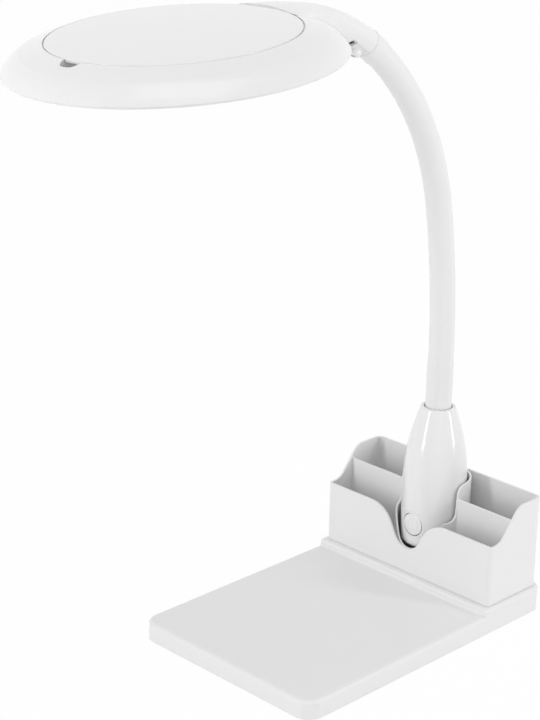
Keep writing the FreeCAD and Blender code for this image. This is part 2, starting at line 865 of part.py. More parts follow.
def supply_lead():
    """The lead from the inlet, through the threaded tube, to the board."""
    level = cover_top + lead_radius + lead_gap
    turn_y = stem_y + lead_bend_radius
    top_z = anchor_top + coupler_socket_depth
    pieces = [
        rod(lead_radius, Vector(0, base_rear - base_wall - inlet_depth, level), Vector(0, turn_y, level)),
        quarter_bend(Vector(0, turn_y, level + lead_bend_radius), -quarter, -quarter),
        upright(lead_radius, 0, stem_y, level + lead_bend_radius, top_z),
        quarter_bend(Vector(0, stem_y - lead_bend_radius, top_z), 0, quarter),
        rod(lead_radius, Vector(0, stem_y - lead_bend_radius, top_z + lead_bend_radius),
            Vector(0, board_y + board_thickness, top_z + lead_bend_radius)),
    ]
    return fuse(pieces)


def quarter_bend(centre, start, turn):
    """A quarter of a lead's bend in the middle plane, from an angle seen from the left."""
    angle = math.radians(start)
    first = centre + Vector(0, math.cos(angle), math.sin(angle)) * lead_bend_radius
    tangent = Vector(0, -math.sin(angle), math.cos(angle))
    disc = Part.Face(Part.Wire(Part.makeCircle(lead_radius, first, tangent)))
    return disc.revolve(centre, right, turn)


def arm_point(s):
    """The arm's centre line at a distance s along it, and how far it leans forward there."""
    if s <= arm_straight:
        return Vector(0, stem_y, arm_start + s), 0.0
    wide_centre = Vector(0, stem_y - arm_wide_radius, arm_start + arm_straight)
    lean = min((s - arm_straight) / arm_wide_radius, math.radians(arm_wide_angle))
    place = wide_centre + Vector(0, math.cos(lean), math.sin(lean)) * arm_wide_radius
    if s <= arm_straight + wide_length:
        return place, lean
    tight_centre = place - Vector(0, math.cos(lean), math.sin(lean)) * arm_tight_radius
    lean += (s - arm_straight - wide_length) / arm_tight_radius
    return tight_centre + Vector(0, math.cos(lean), math.sin(lean)) * arm_tight_radius, lean


def arm_tangent(lean):
    """The direction of the arm where it leans forward by an angle."""
    return Vector(0, -math.sin(lean), math.cos(lean))


def arm_bar(s0, s1, radius):
    """A round bar along the arm's centre line between two distances."""
    breaks = [s0] + [b for b in (arm_straight, arm_straight + wide_length) if s0 < b < s1] + [s1]
    pieces = []
    for a, b in zip(breaks, breaks[1:]):
        start, lean_a = arm_point(a)
        end, lean_b = arm_point(b)
        if b <= arm_straight:
            pieces.append(rod(radius, start, end))
            continue
        curve = arm_wide_radius if b <= arm_straight + wide_length else arm_tight_radius
        centre = start - Vector(0, math.cos(lean_a), math.sin(lean_a)) * curve
        disc = Part.Face(Part.Wire(Part.makeCircle(radius, start, arm_tangent(lean_a))))
        pieces.append(disc.revolve(centre, right, math.degrees(lean_b - lean_a)))
    return fuse(pieces)


def arm_tube(s0, s1, radius, bore):
    """A tube along the arm's centre line."""
    return arm_bar(s0, s1, radius).cut(arm_bar(s0, s1, bore))


def core_link(k):
    """One rigid length of the steel core, from the ball at bend k - 1 to the cup at bend k."""
    if k == 0:
        start = arm_point(0)[0]
        foot = Vector(0, stem_y, coupler_top)
        solid = fuse([rod(core_radius, foot, start), arm_bar(0, bend_stations[0], core_radius)])
        solid = solid.cut(rod(core_bore_radius, foot - up * overrun, start))
        solid = solid.cut(arm_bar(0, bend_stations[0], core_bore_radius))
    else:
        s0 = bend_stations[k - 1]
        s1 = bend_stations[k] if k < bend_count else arm_length
        solid = fuse([
            Part.makeSphere(ball_radius, arm_point(s0)[0]),
            arm_bar(s0, s0 + ball_neck_length, ball_neck_radius),
            arm_bar(s0 + ball_neck_length, s1, core_radius),
        ])
        solid = solid.cut(arm_bar(s0, s1, core_bore_radius))
        low = arm_point(s0)[0]
        solid = solid.cut(rod(core_bore_radius, low - arm_tangent(arm_point(s0)[1]) * ball_radius, low))
    if k < bend_count:
        solid = solid.cut(Part.makeSphere(ball_radius + socket_gap, arm_point(bend_stations[k])[0]))
    return max(solid.Solids, key=lambda s: s.Volume)


def sleeve_piece(k):
    """The stretch of the smooth sleeve that covers link k of the core."""
    s0 = sleeve_start + sleeve_end_gap if k == 0 else bend_stations[k - 1]
    s1 = sleeve_end - sleeve_end_gap if k == bend_count else bend_stations[k]
    return arm_tube(s0, s1, sleeve_radius, sleeve_radius - sleeve_wall)


def lower_ferrule():
    """The smooth lower end of the gooseneck, standing in the stem's mouth."""
    bottom = Vector(0, stem_y, stem_top - stem_neck_length - bush_drop)
    top = arm_point(arm_straight)[0]
    neck = top - up * ferrule_taper_length
    taper = Part.makeCone(lower_ferrule_radius, sleeve_radius, ferrule_taper_length, neck, up)
    body = fuse([rod(lower_ferrule_radius, bottom, neck), taper])
    return body.cut(rod(core_radius + fit_gap, bottom - up * overrun, top + up * overrun))


def upper_ferrule():
    """The upper end of the gooseneck, with a tenon that the neck's screw holds."""
    end, lean = arm_point(arm_length)
    along = arm_tangent(lean)
    body = fuse([
        arm_bar(arm_length - upper_ferrule_length, arm_length, upper_ferrule_radius),
        rod(neck_seam_radius - neck_wall - tenon_gap, end, end + along * tenon_seat_length),
        rod(tenon_radius, end, end + along * tenon_length),
    ])
    body = body.cut(arm_bar(arm_length - upper_ferrule_length - overrun, arm_length, core_radius + fit_gap))
    body = body.cut(rod(core_bore_radius, end, end + along * (tenon_length + overrun)))
    pilot = small_screw_shank_radius + pilot_gap
    return body.cut(neck_boss_bar(pilot, tenon_radius - tenon_bore_depth, neck_seam_radius))


def arm_lead():
    """The lead that runs inside the core from the board to the head."""
    end, lean = arm_point(arm_length)
    start_z = coupler_top - coupler_socket_depth / 2
    pieces = [
        rod(lead_radius, Vector(0, board_y + board_thickness, start_z - lead_bend_radius),
            Vector(0, stem_y - lead_bend_radius, start_z - lead_bend_radius)),
        quarter_bend(Vector(0, stem_y - lead_bend_radius, start_z), -quarter, quarter),
        upright(lead_radius, 0, stem_y, start_z, arm_start),
        arm_bar(0, arm_length, lead_radius),
        rod(lead_radius, end, end + arm_tangent(lean) * tenon_length),
    ]
    return fuse(pieces)


def head_lead():
    """The lead's last stretch, from the tenon through the neck to the board of the lights."""
    seam, along, _, _, _ = neck_section(-1)
    board_y_in_head = board_outer_radius - lead_radius * 2
    landing = head_placement().multVec(Vector(0, board_y_in_head, board_ring_top))
    above = head_placement().multVec(Vector(0, board_y_in_head, board_ring_top + lead_radius * 2))
    start = seam + along * (tenon_length + fit_gap)
    route = [start, start + along * lead_radius * 2] + [neck_section(k)[0] for k in (2, 1)] + [above, landing]
    pieces = [rod(lead_radius, a, b) for a, b in zip(route, route[1:])]
    return fuse(pieces + [Part.makeSphere(lead_radius, corner) for corner in route[1:-1]])


def head_placement():
    """Where the head's own directions lie, ahead of the arm's end and above it."""
    end, _ = arm_point(arm_length)
    return Placement(end + front * head_reach + up * head_lift, head_turn)


def head_outline(z_low, r_in):
    """Half of the ring-shaped part of the head: underside, skirt, ridge and the ring round the lid."""
    edge = Vector(rim_radius, 0, rim_bottom)
    bulge = Vector(rim_radius - skirt_bulge_inset, 0, skirt_bulge_height)
    ridge = Vector(ridge_radius, 0, ridge_height)
    shoulder = Vector(r_in, 0, ring_top)
    low_in, low_out = Vector(r_in, 0, z_low), Vector(rim_radius, 0, z_low)
    edges = [Part.makeLine(low_in, low_out)]
    if z_low < rim_bottom:
        edges.append(Part.makeLine(low_out, edge))
    edges.append(Part.Arc(edge, bulge, ridge).toShape())
    edges += [Part.makeLine(ridge, shoulder), Part.makeLine(shoulder, low_in)]
    return Part.Wire(edges)


def turned(wire):
    """A closed half outline turned about the head's axis."""
    return Part.Face(wire).revolve(Vector(0, 0, 0), up, 4 * quarter)


def head_cavity():
    """The room inside the head, open below."""
    inner = head_outline(rim_bottom - overrun, recess_radius).makeOffset2D(-head_wall)
    middle = (recess_radius + ridge_radius) / 2
    return fuse([turned(inner), washer_shape(collar_radius, middle, rim_bottom - overrun / 2, ledge_bottom)])


def neck_section(k):
    """Middle, direction, upward direction and half sizes of one of the neck's sections."""
    reach, rise, turn, widening, flattening = neck_shares[k]
    seam, lean = arm_point(arm_length)
    root = head_placement().multVec(Vector(0, rim_radius - neck_root_inset, neck_root_height))
    middle = Vector(0, seam.y + reach * (root.y - seam.y), seam.z + rise * (root.z - seam.z))
    seam_slope = math.radians(quarter) - lean
    slope = seam_slope + turn * (math.radians(neck_root_slope) - seam_slope)
    along = Vector(0, -math.cos(slope), math.sin(slope))
    half_width = neck_seam_radius + widening * (neck_root_half_width - neck_seam_radius)
    half_height = neck_seam_radius + flattening * (neck_root_half_height - neck_seam_radius)
    return middle, along, right.cross(along) * -1, half_width, half_height


def neck_loft(wall):
    """The neck as a smooth solid through its sections, drawn in by a wall."""
    wires = []
    for k in range(len(neck_shares)):
        middle, _, lift, half_width, half_height = neck_section(k)
        placed = []
        for step in range(neck_point_count):
            turn = math.radians(4 * quarter * step / neck_point_count)
            across = right * (half_width - wall) * math.cos(turn)
            placed.append(middle + across + lift * (half_height - wall) * math.sin(turn))
        curve = Part.BSplineCurve()
        curve.interpolate(placed, PeriodicFlag=True)
        wires.append(Part.Wire(curve.toShape()))
    return Part.makeLoft(wires, True, False)


def neck_underside(length, gap=0.0):
    """The room under the neck, from the seam with the arm up to a length, grown by a gap."""
    place, along, lift, _, _ = neck_section(-1)
    size = 4 * neck_seam_radius
    corner = place - right * size / 2 - lift * (neck_cover_drop - gap) - along * gap
    face = Part.Face(Part.makePolygon([corner, corner + right * size, corner + right * size - lift * size,
                                       corner - lift * size, corner]))
    return face.extrude(along * (length + gap))


def neck_boss_bar(radius, z0, z1):
    """A bar along the axis of the screw that holds the neck's cover, from the neck's middle line."""
    place, along, lift, _, _ = neck_section(-1)
    foot = place + along * neck_boss_place
    return rod(radius, foot - lift * z0, foot - lift * z1)


def hinge_well(grow):
    """The well behind the hinge that the lid's rear edge swings down into, grown by a wall."""
    half = well_half_width + grow
    block = box(-half, half, well_front - grow, recess_radius + head_wall,
                well_floor - grow, ring_top + overrun)
    return block.common(upright(recess_radius + grow, 0, lid_gap_shift, 0, ring_top + overrun))


def head_ring():
    """The round part of the upper casing, about the head's own middle."""
    solid = turned(head_outline(rim_bottom, recess_radius))
    shell = fuse([solid, washer_shape(lens_opening, recess_radius, rim_bottom, ledge_top)])
    shell = shell.cut(upright(recess_radius, 0, lid_gap_shift, ledge_top, ring_top + overrun))
    shell = shell.cut(head_cavity())
    below_ledge = upright(recess_radius + head_wall, 0, 0, 0, ledge_top)
    added = [
        hinge_well(well_wall).common(below_ledge),
        upright(finger_radius + well_wall, 0, -lid_radius, finger_floor - well_wall, ledge_top),
    ]
    middle = (ledge_top + ledge_bottom) / 2
    for _, x, y in around(board_post_count, board_post_circle):
        added.append(upright(board_post_radius, x, y, board_ring_top, middle))
    for _, x, y in around(keeper_screw_count, keeper_screw_circle, quarter / 2):
        added.append(upright(keeper_boss_radius, x, y, collar_bottom, middle))
    for _, x, y in around(rim_screw_count, rim_screw_circle):
        added.append(upright(rim_boss_radius, x, y, rim_bottom, ring_top).common(solid))
    shell = fuse([shell] + added)
    cuts = [
        hinge_well(0),
        rod(hinge_relief_radius, Vector(-well_half_width, hinge_place, hinge_z),
            Vector(well_half_width, hinge_place, hinge_z)),
        upright(finger_radius, 0, -lid_radius, finger_floor, ring_top + overrun),
        upright(lens_bore_radius, 0, 0, 0, lens_stop),
        upright(collar_radius, 0, 0, 0, collar_bottom),
    ]
    pilot = small_screw_shank_radius + pilot_gap
    keeper_seat = keeper_bottom + small_screw_length
    for _, x, y in around(rim_screw_count, rim_screw_circle):
        cuts.append(upright(pilot, x, y, 0, rim_ring_bottom + small_screw_length + pilot_gap))
    for _, x, y in around(keeper_screw_count, keeper_screw_circle, quarter / 2):
        cuts.append(upright(pilot, x, y, 0, keeper_seat + pilot_gap))
    for _, x, y in around(board_post_count, board_post_circle):
        cuts.append(upright(pilot, x, y, 0, board_ring_bottom + small_screw_length))
    for cut in cuts:
        shell = shell.cut(cut)
    shell = fuse([shell] + hinge_ears())
    return shell.cut(hinge_pin(hinge_bore_gap))


def head_top_shell():
    """The white upper casing of the head, with the neck that leads to the arm."""
    far = recess_radius + rim_radius
    skin = turned(head_outline(rim_bottom - overrun, recess_radius).makeOffset2D(-head_wall / 2))
    inside = fuse([skin, upright(recess_radius + head_wall / 2, 0, 0, -far, far)])
    neck = neck_loft(0).cut(in_head(inside))
    neck = max(neck.Solids, key=lambda s: s.Volume)
    shell = in_head(head_ring()).fuse(neck)
    room = neck_loft(neck_wall).cut(in_head(upright(recess_radius + head_wall, 0, 0, -far, far)))
    shell = shell.cut(room)
    shell = shell.cut(neck_underside(neck_cover_length + neck_slot_length, neck_cover_gap))
    return max(shell.Solids, key=lambda s: s.Volume)


def hinge_ears():
    """The two ears, carried from the front, that hold the hinge pin."""
    first = barrel_length / 2 + hinge_side_gap
    found = []
    for side in (-1, 1):
        x0, x1 = sorted((side * first, side * (first + ear_width)))
        bar = Part.makeCylinder(barrel_radius, ear_width, Vector(x0, hinge_place, hinge_z), right)
        arm = box(x0, x1, hinge_place - ear_reach, hinge_place, hinge_z - barrel_radius, hinge_z)
        gusset = box(x0, x1, hinge_place - ear_reach, hinge_place - ear_reach / 2,
                     hinge_z - ear_depth, hinge_z)
        found.append(fuse([bar, arm, gusset]))
    return found


def hinge_pin(gap=0.0):
    """The steel pin of the lid's hinge."""
    half = barrel_length / 2 + hinge_side_gap + ear_width
    return Part.makeCylinder(hinge_pin_radius + gap, 2 * half, Vector(-half, hinge_place, hinge_z), right)


def lens_lid():
    """The domed lid over the lens, with a hinge barrel under its rear edge."""
    low, high = lid_bottom, lid_top
    reach = lid_radius / 2
    curve = (lid_radius ** 2 + lid_dome ** 2) / (2 * lid_dome)
    mid_rise = lid_dome - (curve - math.sqrt(curve ** 2 - reach ** 2))
    lid = spin([
        ((0, low + lid_dome), (reach, low + mid_rise), (lid_radius, low)),
        ((lid_radius, low), (lid_radius, high)),
        ((lid_radius, high), (reach, high + mid_rise), (0, high + lid_dome)),
        ((0, high + lid_dome), (0, low + lid_dome)),
    ])
    rim = [e for e in lid.Edges if abs(e.BoundBox.ZMin - high) < lid_edge_round / 100
           and e.BoundBox.XLength > lid_radius and abs(e.BoundBox.ZMax - high) < lid_edge_round / 100]
    lid = lid.makeFillet(lid_edge_round, rim)
    half = barrel_length / 2
    barrel = Part.makeCylinder(barrel_radius, barrel_length, Vector(-half, hinge_place, hinge_z), right)
    web = box(-half, half, hinge_place - barrel_radius, hinge_place + barrel_radius, hinge_z, high)
    web = web.common(upright(lid_radius, 0, 0, 0, high))
    lid = fuse([lid, barrel, web])
    first = half
    room_length = ear_width + 2 * hinge_side_gap
    for side in (-1, 1):
        x0 = first if side > 0 else -first - room_length
        start = Vector(x0, hinge_place, hinge_z)
        lid = lid.cut(rod(barrel_radius + hinge_swing_gap, start, start + right * room_length))
    lid = lid.cut(hinge_pin(hinge_bore_gap))
    return in_head(lid)


def lens():
    """The clear magnifying lens, curved on both sides."""
    reach = lens_radius / 2
    curve = (lens_radius ** 2 + lens_sag ** 2) / (2 * lens_sag)
    mid_rise = lens_sag - (curve - math.sqrt(curve ** 2 - reach ** 2))
    low, high = lens_middle - lens_edge / 2, lens_middle + lens_edge / 2
    glass = spin([
        ((0, low - lens_sag), (reach, low - mid_rise), (lens_radius, low)),
        ((lens_radius, low), (lens_radius, high)),
        ((lens_radius, high), (reach, high + mid_rise), (0, high + lens_sag)),
        ((0, high + lens_sag), (0, low - lens_sag)),
    ])
    return in_head(glass)


def screws_from_below(count, circle, z, length, start=0.0):
    """Small screws driven up into the head, on a circle."""
    sizes = (small_screw_head_radius, small_screw_head_height, small_screw_shank_radius, length)
    return [screw(x, y, z, *sizes) for _, x, y in around(count, circle, start)]


def screw_holes(count, circle, z, start=0.0):
    """Sunk holes for small screws, on a circle."""
    found = []
    for _, x, y in around(count, circle, start):
        head, shank = small_screw_head_radius + fit_gap, small_screw_shank_radius + fit_gap
        found.append(upright(head, x, y, z - overrun, z + small_screw_head_height))
        found.append(upright(shank, x, y, z - overrun, z + small_screw_length))
    return found


def lens_keeper():
    """The ring under the lens, screwed to the collar, that also holds the diffuser's inner edge."""
    high = keeper_bottom + keeper_thickness
    seat = collar_bottom - fit_gap
    ring = ring_of((
        (lens_opening, keeper_bottom + keeper_bevel), (lens_opening + keeper_bevel, keeper_bottom),
        (keeper_radius - keeper_bevel, keeper_bottom), (keeper_radius, keeper_bottom + keeper_bevel),
        (keeper_radius, high), (keeper_seat_radius, high), (keeper_seat_radius, seat),
        (lens_radius, seat), (lens_radius, keeper_top), (lens_opening, keeper_top),
    ))
    for hole in screw_holes(keeper_screw_count, keeper_screw_circle, keeper_bottom, quarter / 2):
        ring = ring.cut(hole)
    return in_head(ring)


def head_rim_ring():
    """The outer ring of the head's underside."""
    outer = rim_radius - rim_ring_setback
    ring = ring_of((
        (rim_ring_inner_radius, rim_ring_bottom), (outer - rim_ring_bevel, rim_ring_bottom),
        (outer, rim_ring_bottom + rim_ring_bevel), (outer, rim_ring_top),
        (rim_ring_inner_radius, rim_ring_top),
    ))
    for hole in screw_holes(rim_screw_count, rim_screw_circle, rim_ring_bottom):
        ring = ring.cut(hole)
    return in_head(ring)


def led_board():
    """The ring-shaped circuit board of the lights."""
    ring = washer_shape(board_inner_radius, board_outer_radius, board_ring_bottom, board_ring_top)
    for _, x, y in around(board_post_count, board_post_circle):
        ring = ring.cut(upright(small_screw_shank_radius + fit_gap, x, y, 0, ring_top))
    return in_head(ring)


def leds():
    """The lights under the board, in two rows round the lens."""
    half = led_size / 2
    width = board_outer_radius - board_inner_radius
    found = []
    for share in led_row_shares:
        radius = board_inner_radius + share * width
        chip = box(radius - half, radius + half, -half, half,
                   board_ring_bottom - led_thickness, board_ring_bottom)
        for turn, _, _ in around(leds_per_row, radius, 4 * quarter / leds_per_row / 2):
            turned_chip = chip.copy()
            turned_chip.rotate(Vector(0, 0, 0), up, turn)
            found.append(in_head(turned_chip))
    return group(found)


def neck_lower_cover():
    """The cover under the neck, with a rounded boss for its screw."""
    skin = neck_loft(0).cut(neck_loft(neck_wall)).common(neck_underside(neck_cover_length))
    skin = max(skin.Solids, key=lambda s: s.Volume)
    boss = neck_boss_bar(neck_boss_radius, neck_seam_radius - neck_wall, neck_seam_radius + neck_boss_length)
    place, along, lift, _, _ = neck_section(-1)
    tip = place + along * neck_boss_place - lift * (neck_seam_radius + neck_boss_length)
    rim = [e for e in boss.Edges if (e.CenterOfMass - tip).Length < neck_boss_round]
    boss = boss.makeFillet(neck_boss_round, rim)
    cover = fuse([skin, boss])
    depth = neck_seam_radius + neck_boss_length
    cover = cover.cut(neck_boss_bar(neck_screw_radius + fit_gap, depth - neck_screw_depth, depth + overrun))
    return cover.cut(neck_boss_bar(small_screw_shank_radius + fit_gap, 0, depth))


def neck_screw():
    """The screw that holds the cover under the neck."""
    depth = neck_seam_radius + neck_boss_length - neck_screw_depth
    head = neck_boss_bar(neck_screw_radius, depth, depth + neck_screw_head_height)
    return fuse([head, neck_boss_bar(small_screw_shank_radius, depth - neck_screw_length, depth)])


if __name__ == "__main__":
    save("base_top_shell", base_top_shell())
    save("base_bottom_cover", base_bottom_cover())
    save("anti_slip_pad", base_flat(0, pad_thickness))
    save("base_screws", base_screws())
    save("ballast_plate", ballast_plate())
    save("dc_inlet", dc_inlet())
    save("dc_inlet_pin", dc_inlet_pin())
    save("organiser_tray", organiser_tray())
    save("tray_screws", tray_screws())
    save("stem_housing", stem_housing())
    save("stem_foot", stem_foot())
    save("stem_anchor_tube", stem_anchor_tube())
    save("stem_washer", stem_washer())
    save("stem_nut", stem_nut())
    save("stem_coupler", stem_coupler())
    save("collar_bush", collar_bush())
    save("button_bezel", button_bezel())
    save("power_button", power_button())
    save("button_spring", button_spring())
    save("switch_board", switch_board())
    save("push_switch", push_switch())
    save("led_driver", led_driver())
    save("supply_lead", supply_lead())
    save("lower_ferrule", lower_ferrule())
    save("upper_ferrule", upper_ferrule())
    save("arm_lead", arm_lead())
    save("head_lead", head_lead())
    save("head_top_shell", head_top_shell())
    save("head_rim_ring", head_rim_ring())
    save("rim_screws", group(in_head(s) for s in screws_from_below(
        rim_screw_count, rim_screw_circle, rim_ring_bottom, small_screw_length)))
    save("diffuser_ring", in_head(washer_shape(
        diffuser_inner_radius, diffuser_outer_radius, diffuser_bottom, diffuser_bottom + diffuser_thickness)))
    save("lens_keeper", lens_keeper())
    save("keeper_screws", group(in_head(s) for s in screws_from_below(
        keeper_screw_count, keeper_screw_circle, keeper_bottom, small_screw_length, quarter / 2)))
    save("led_board", led_board())
    save("led_board_screws", group(in_head(s) for s in screws_from_below(
        board_post_count, board_post_circle, board_ring_bottom - small_screw_head_height,
        small_screw_length)))
    save("leds", leds())
    save("lens", lens())
    save("lens_lid", lens_lid())
    save("hinge_pin", in_head(hinge_pin()))
    save("neck_lower_cover", neck_lower_cover())
    save("neck_screw", neck_screw())
    for k in range(bend_count + 1):
        save("core_link_%d" % (k + 1), core_link(k))
        save("sleeve_%d" % (k + 1), sleeve_piece(k))
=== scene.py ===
import json
import math

import bmesh
import bpy
from mathutils import Matrix, Vector
from mathutils.kdtree import KDTree

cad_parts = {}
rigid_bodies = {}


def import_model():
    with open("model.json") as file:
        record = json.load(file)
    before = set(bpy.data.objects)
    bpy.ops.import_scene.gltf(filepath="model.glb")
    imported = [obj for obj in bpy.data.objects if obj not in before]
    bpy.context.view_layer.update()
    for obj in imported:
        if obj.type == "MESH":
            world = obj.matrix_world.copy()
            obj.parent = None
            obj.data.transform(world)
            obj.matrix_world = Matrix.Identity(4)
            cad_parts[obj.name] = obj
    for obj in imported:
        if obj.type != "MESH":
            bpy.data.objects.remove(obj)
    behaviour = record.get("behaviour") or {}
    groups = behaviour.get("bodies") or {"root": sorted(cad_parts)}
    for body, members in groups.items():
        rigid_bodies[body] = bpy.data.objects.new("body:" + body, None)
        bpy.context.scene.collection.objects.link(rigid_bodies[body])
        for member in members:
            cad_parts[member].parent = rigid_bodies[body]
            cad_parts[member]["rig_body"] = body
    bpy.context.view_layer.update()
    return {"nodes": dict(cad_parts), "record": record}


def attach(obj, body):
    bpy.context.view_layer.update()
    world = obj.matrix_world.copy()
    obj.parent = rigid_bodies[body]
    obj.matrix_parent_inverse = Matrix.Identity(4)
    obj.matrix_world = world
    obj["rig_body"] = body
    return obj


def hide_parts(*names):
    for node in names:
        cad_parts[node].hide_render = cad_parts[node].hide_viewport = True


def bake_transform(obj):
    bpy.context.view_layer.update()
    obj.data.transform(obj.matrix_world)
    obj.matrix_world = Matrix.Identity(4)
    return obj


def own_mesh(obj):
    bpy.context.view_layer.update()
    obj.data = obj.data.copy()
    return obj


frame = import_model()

# A full turn, and how close two corners lie that count as one
turn = 2 * math.pi
merge_distance = 1e-6

# The camera, as the photograph was taken
picture_height = 720
camera_place = Vector((0.94037, -1.03623, 0.72929))
camera_azimuth = 44.797
camera_elevation = 20.023
camera_roll = 1.179
focal_pixels = 1977.8
sensor_size = 36.0
centre_offset_pixels = 1.0

# The arm's centre line: straight, a wide arc, then a tight arc
stem_y = 0.1013
arm_start = 0.155
arm_straight = 0.045
arm_wide_radius = 0.6565
arm_wide_angle = math.radians(11.0)
arm_tight_radius = 0.213
arm_tight_angle = math.radians(44.7)
arm_wide_length = arm_wide_radius * arm_wide_angle
arm_length = arm_straight + arm_wide_length + arm_tight_radius * arm_tight_angle
ferrule_length = 0.014
sleeve_radius = 0.00995
sleeve_wall = 0.0023
sleeve_gap = 0.00004
sleeve_rings = 40
lead_radius = 0.0012
lead_bore = lead_radius / 3
lead_rings = 24
ring_sides = 48

# The arm bends over four joints, each in the middle of a length of its own
bodies_up_the_arm = ["stand", "arm_lower", "arm_middle", "arm_upper", "head"]
bend_count = len(bodies_up_the_arm) - 1
core_end = arm_length - ferrule_length
sleeve_start = arm_straight + sleeve_gap
sleeve_end = core_end - sleeve_gap
bend_pitch = (core_end - arm_straight) / bend_count
bend_reach_share = 0.46

# The head's own directions: ahead of the arm's end, nose down and rolled a little
head_reach = 0.18248
head_lift = 0.01041
head_pitch = math.radians(4.96)
head_roll = math.radians(-1.3)

# The head's ridge, the lid and the place where the neck grows out of the ring
ridge_radius = 0.101
ridge_height = 0.013
ridge_slack = 0.0004
lid_radius = 0.0839
lid_flattening = 0.0022
root_start = 0.086
root_half_width = 0.045
root_bottom = 0.006
root_edge = 0.0022
root_reach = 0.01
root_margin = 1.5
root_crease = math.radians(9.0)
root_divisions = 6
root_rounds = 60
root_pull = 0.5

# Lens, curved alike on both sides
lens_radius = 0.0635
lens_edge = 0.003
lens_sag = 0.0035
lens_middle = 0.0128
lens_steps = 14
lens_sides = 96

# Screws under the head
screw_head_radius = 0.002
screw_head_height = 0.0008
screw_shank_radius = 0.0011
screw_shank_length = 0.0052
screw_recess_width = 0.00055
screw_recess_length_share = 1.25
screw_head_sides = 32
screw_shank_sides = 20
rim_screw_count = 6
rim_screw_circle = 0.106
keeper_screw_count = 4
keeper_screw_inset = 0.0038
board_screw_count = 6
board_screw_inset = 0.0048

# Lights under the head, in two rings
led_board_inner = 0.071
led_board_outer = 0.099
led_board_bottom = 0.006
led_row_shares = (0.3, 0.71)
leds_per_row = 24
led_size = 0.0035
led_height = 0.0008
led_window_share = 0.38
led_window_rise = 1.08
led_window_sides = 20

# Push button, open at the back, and its power symbol
button_centre = Vector((0.0, 0.0764, 0.0609))
button_radius = 0.0092
button_depth = 0.0032
button_face = 0.0018
button_round = 0.0006
button_round_share = 0.3
button_cup_radius = 0.008
button_stem_radius = 0.0022
button_stem_depth = 0.0029
button_sides = 64
symbol_radius = 0.0049
symbol_stroke = 0.0009
symbol_rise = 0.00022
symbol_gap = math.radians(36.0)
symbol_steps = 40
symbol_bar_place_share = 0.72
symbol_bar_length_share = 0.95

# Edges that are eased, and edges that count as sharp
eased_edges = {"organiser_tray": 0.00035, "button_bezel": 0.0001, "lens_keeper": 0.0002}
smooth_angle = math.radians(32.0)
soft_angles = {"head_top_shell": math.radians(40.0), "lower_ferrule": math.radians(60.0)}
spring_angle = math.radians(60.0)
flat_angle = math.radians(0.6)
eased_segments = 2
eased_roundness = 0.5

# Sockets of the Mix node that carry colours
mix_factor = 0
mix_first_colour = 6
mix_second_colour = 7
mix_colour_result = 2

# Light and floor
ambient_light = 0.66
floor_size = 4.0
floor_paper = (0.95, 0.95, 0.95, 1.0)
floor_whiteness = 0.96
pure_white = (1.0, 1.0, 1.0, 1.0)


def arm_point(s):
    """The arm's centre line at a distance along it, and how far it leans forward there."""
    if s <= arm_straight:
        return Vector((0, stem_y, arm_start + s)), 0.0
    centre = Vector((0, stem_y - arm_wide_radius, arm_start + arm_straight))
    lean = min((s - arm_straight) / arm_wide_radius, arm_wide_angle)
    place = centre + Vector((0, math.cos(lean), math.sin(lean))) * arm_wide_radius
    if s <= arm_straight + arm_wide_length:
        return place, lean
    centre = place - Vector((0, math.cos(lean), math.sin(lean))) * arm_tight_radius
    lean += (s - arm_straight - arm_wide_length) / arm_tight_radius
    return centre + Vector((0, math.cos(lean), math.sin(lean))) * arm_tight_radius, lean


def head_matrix():
    """Turns the head's own directions into the lamp's."""
    place = arm_point(arm_length)[0] + Vector((0, -head_reach, head_lift))
    tilt = Matrix.Rotation(head_pitch, 4, "X") @ Matrix.Rotation(head_roll, 4, "Y")
    return Matrix.Translation(place) @ tilt


class Signal:
    """A number in a material's node tree; arithmetic on it adds Math nodes."""

    def __init__(self, tree, socket):
        self.tree = tree
        self.socket = socket

    def math(self, operation, *values):
        node = self.tree.nodes.new("ShaderNodeMath")
        node.operation = operation
        for socket, value in zip(node.inputs, values):
            if isinstance(value, Signal):
                self.tree.links.new(value.socket, socket)
            else:
                socket.default_value = value
        return Signal(self.tree, node.outputs[0])

    def __add__(self, other):
        return self.math("ADD", self, other)

    def __sub__(self, other):
        return self.math("SUBTRACT", self, other)

    def __rsub__(self, other):
        return self.math("SUBTRACT", other, self)

    def __mul__(self, other):
        return self.math("MULTIPLY", self, other)

    def __pow__(self, other):
        return self.math("POWER", self, other)

    def clamped(self):
        return self.math("MINIMUM", self.math("MAXIMUM", self, 0.0), 1.0)

    __radd__ = __add__
    __rmul__ = __mul__


def add(tree, kind, inputs=None, **settings):
    """Adds one node to a tree: its settings first, then the values or links of its sockets."""
    node = tree.nodes.new(kind)
    for name, value in settings.items():
        setattr(node, name, value)
    for name, value in (inputs or {}).items():
        if isinstance(value, Signal):
            value = value.socket
        if isinstance(value, bpy.types.NodeSocket):
            tree.links.new(value, node.inputs[name])
        else:
            node.inputs[name].default_value = value
    return node


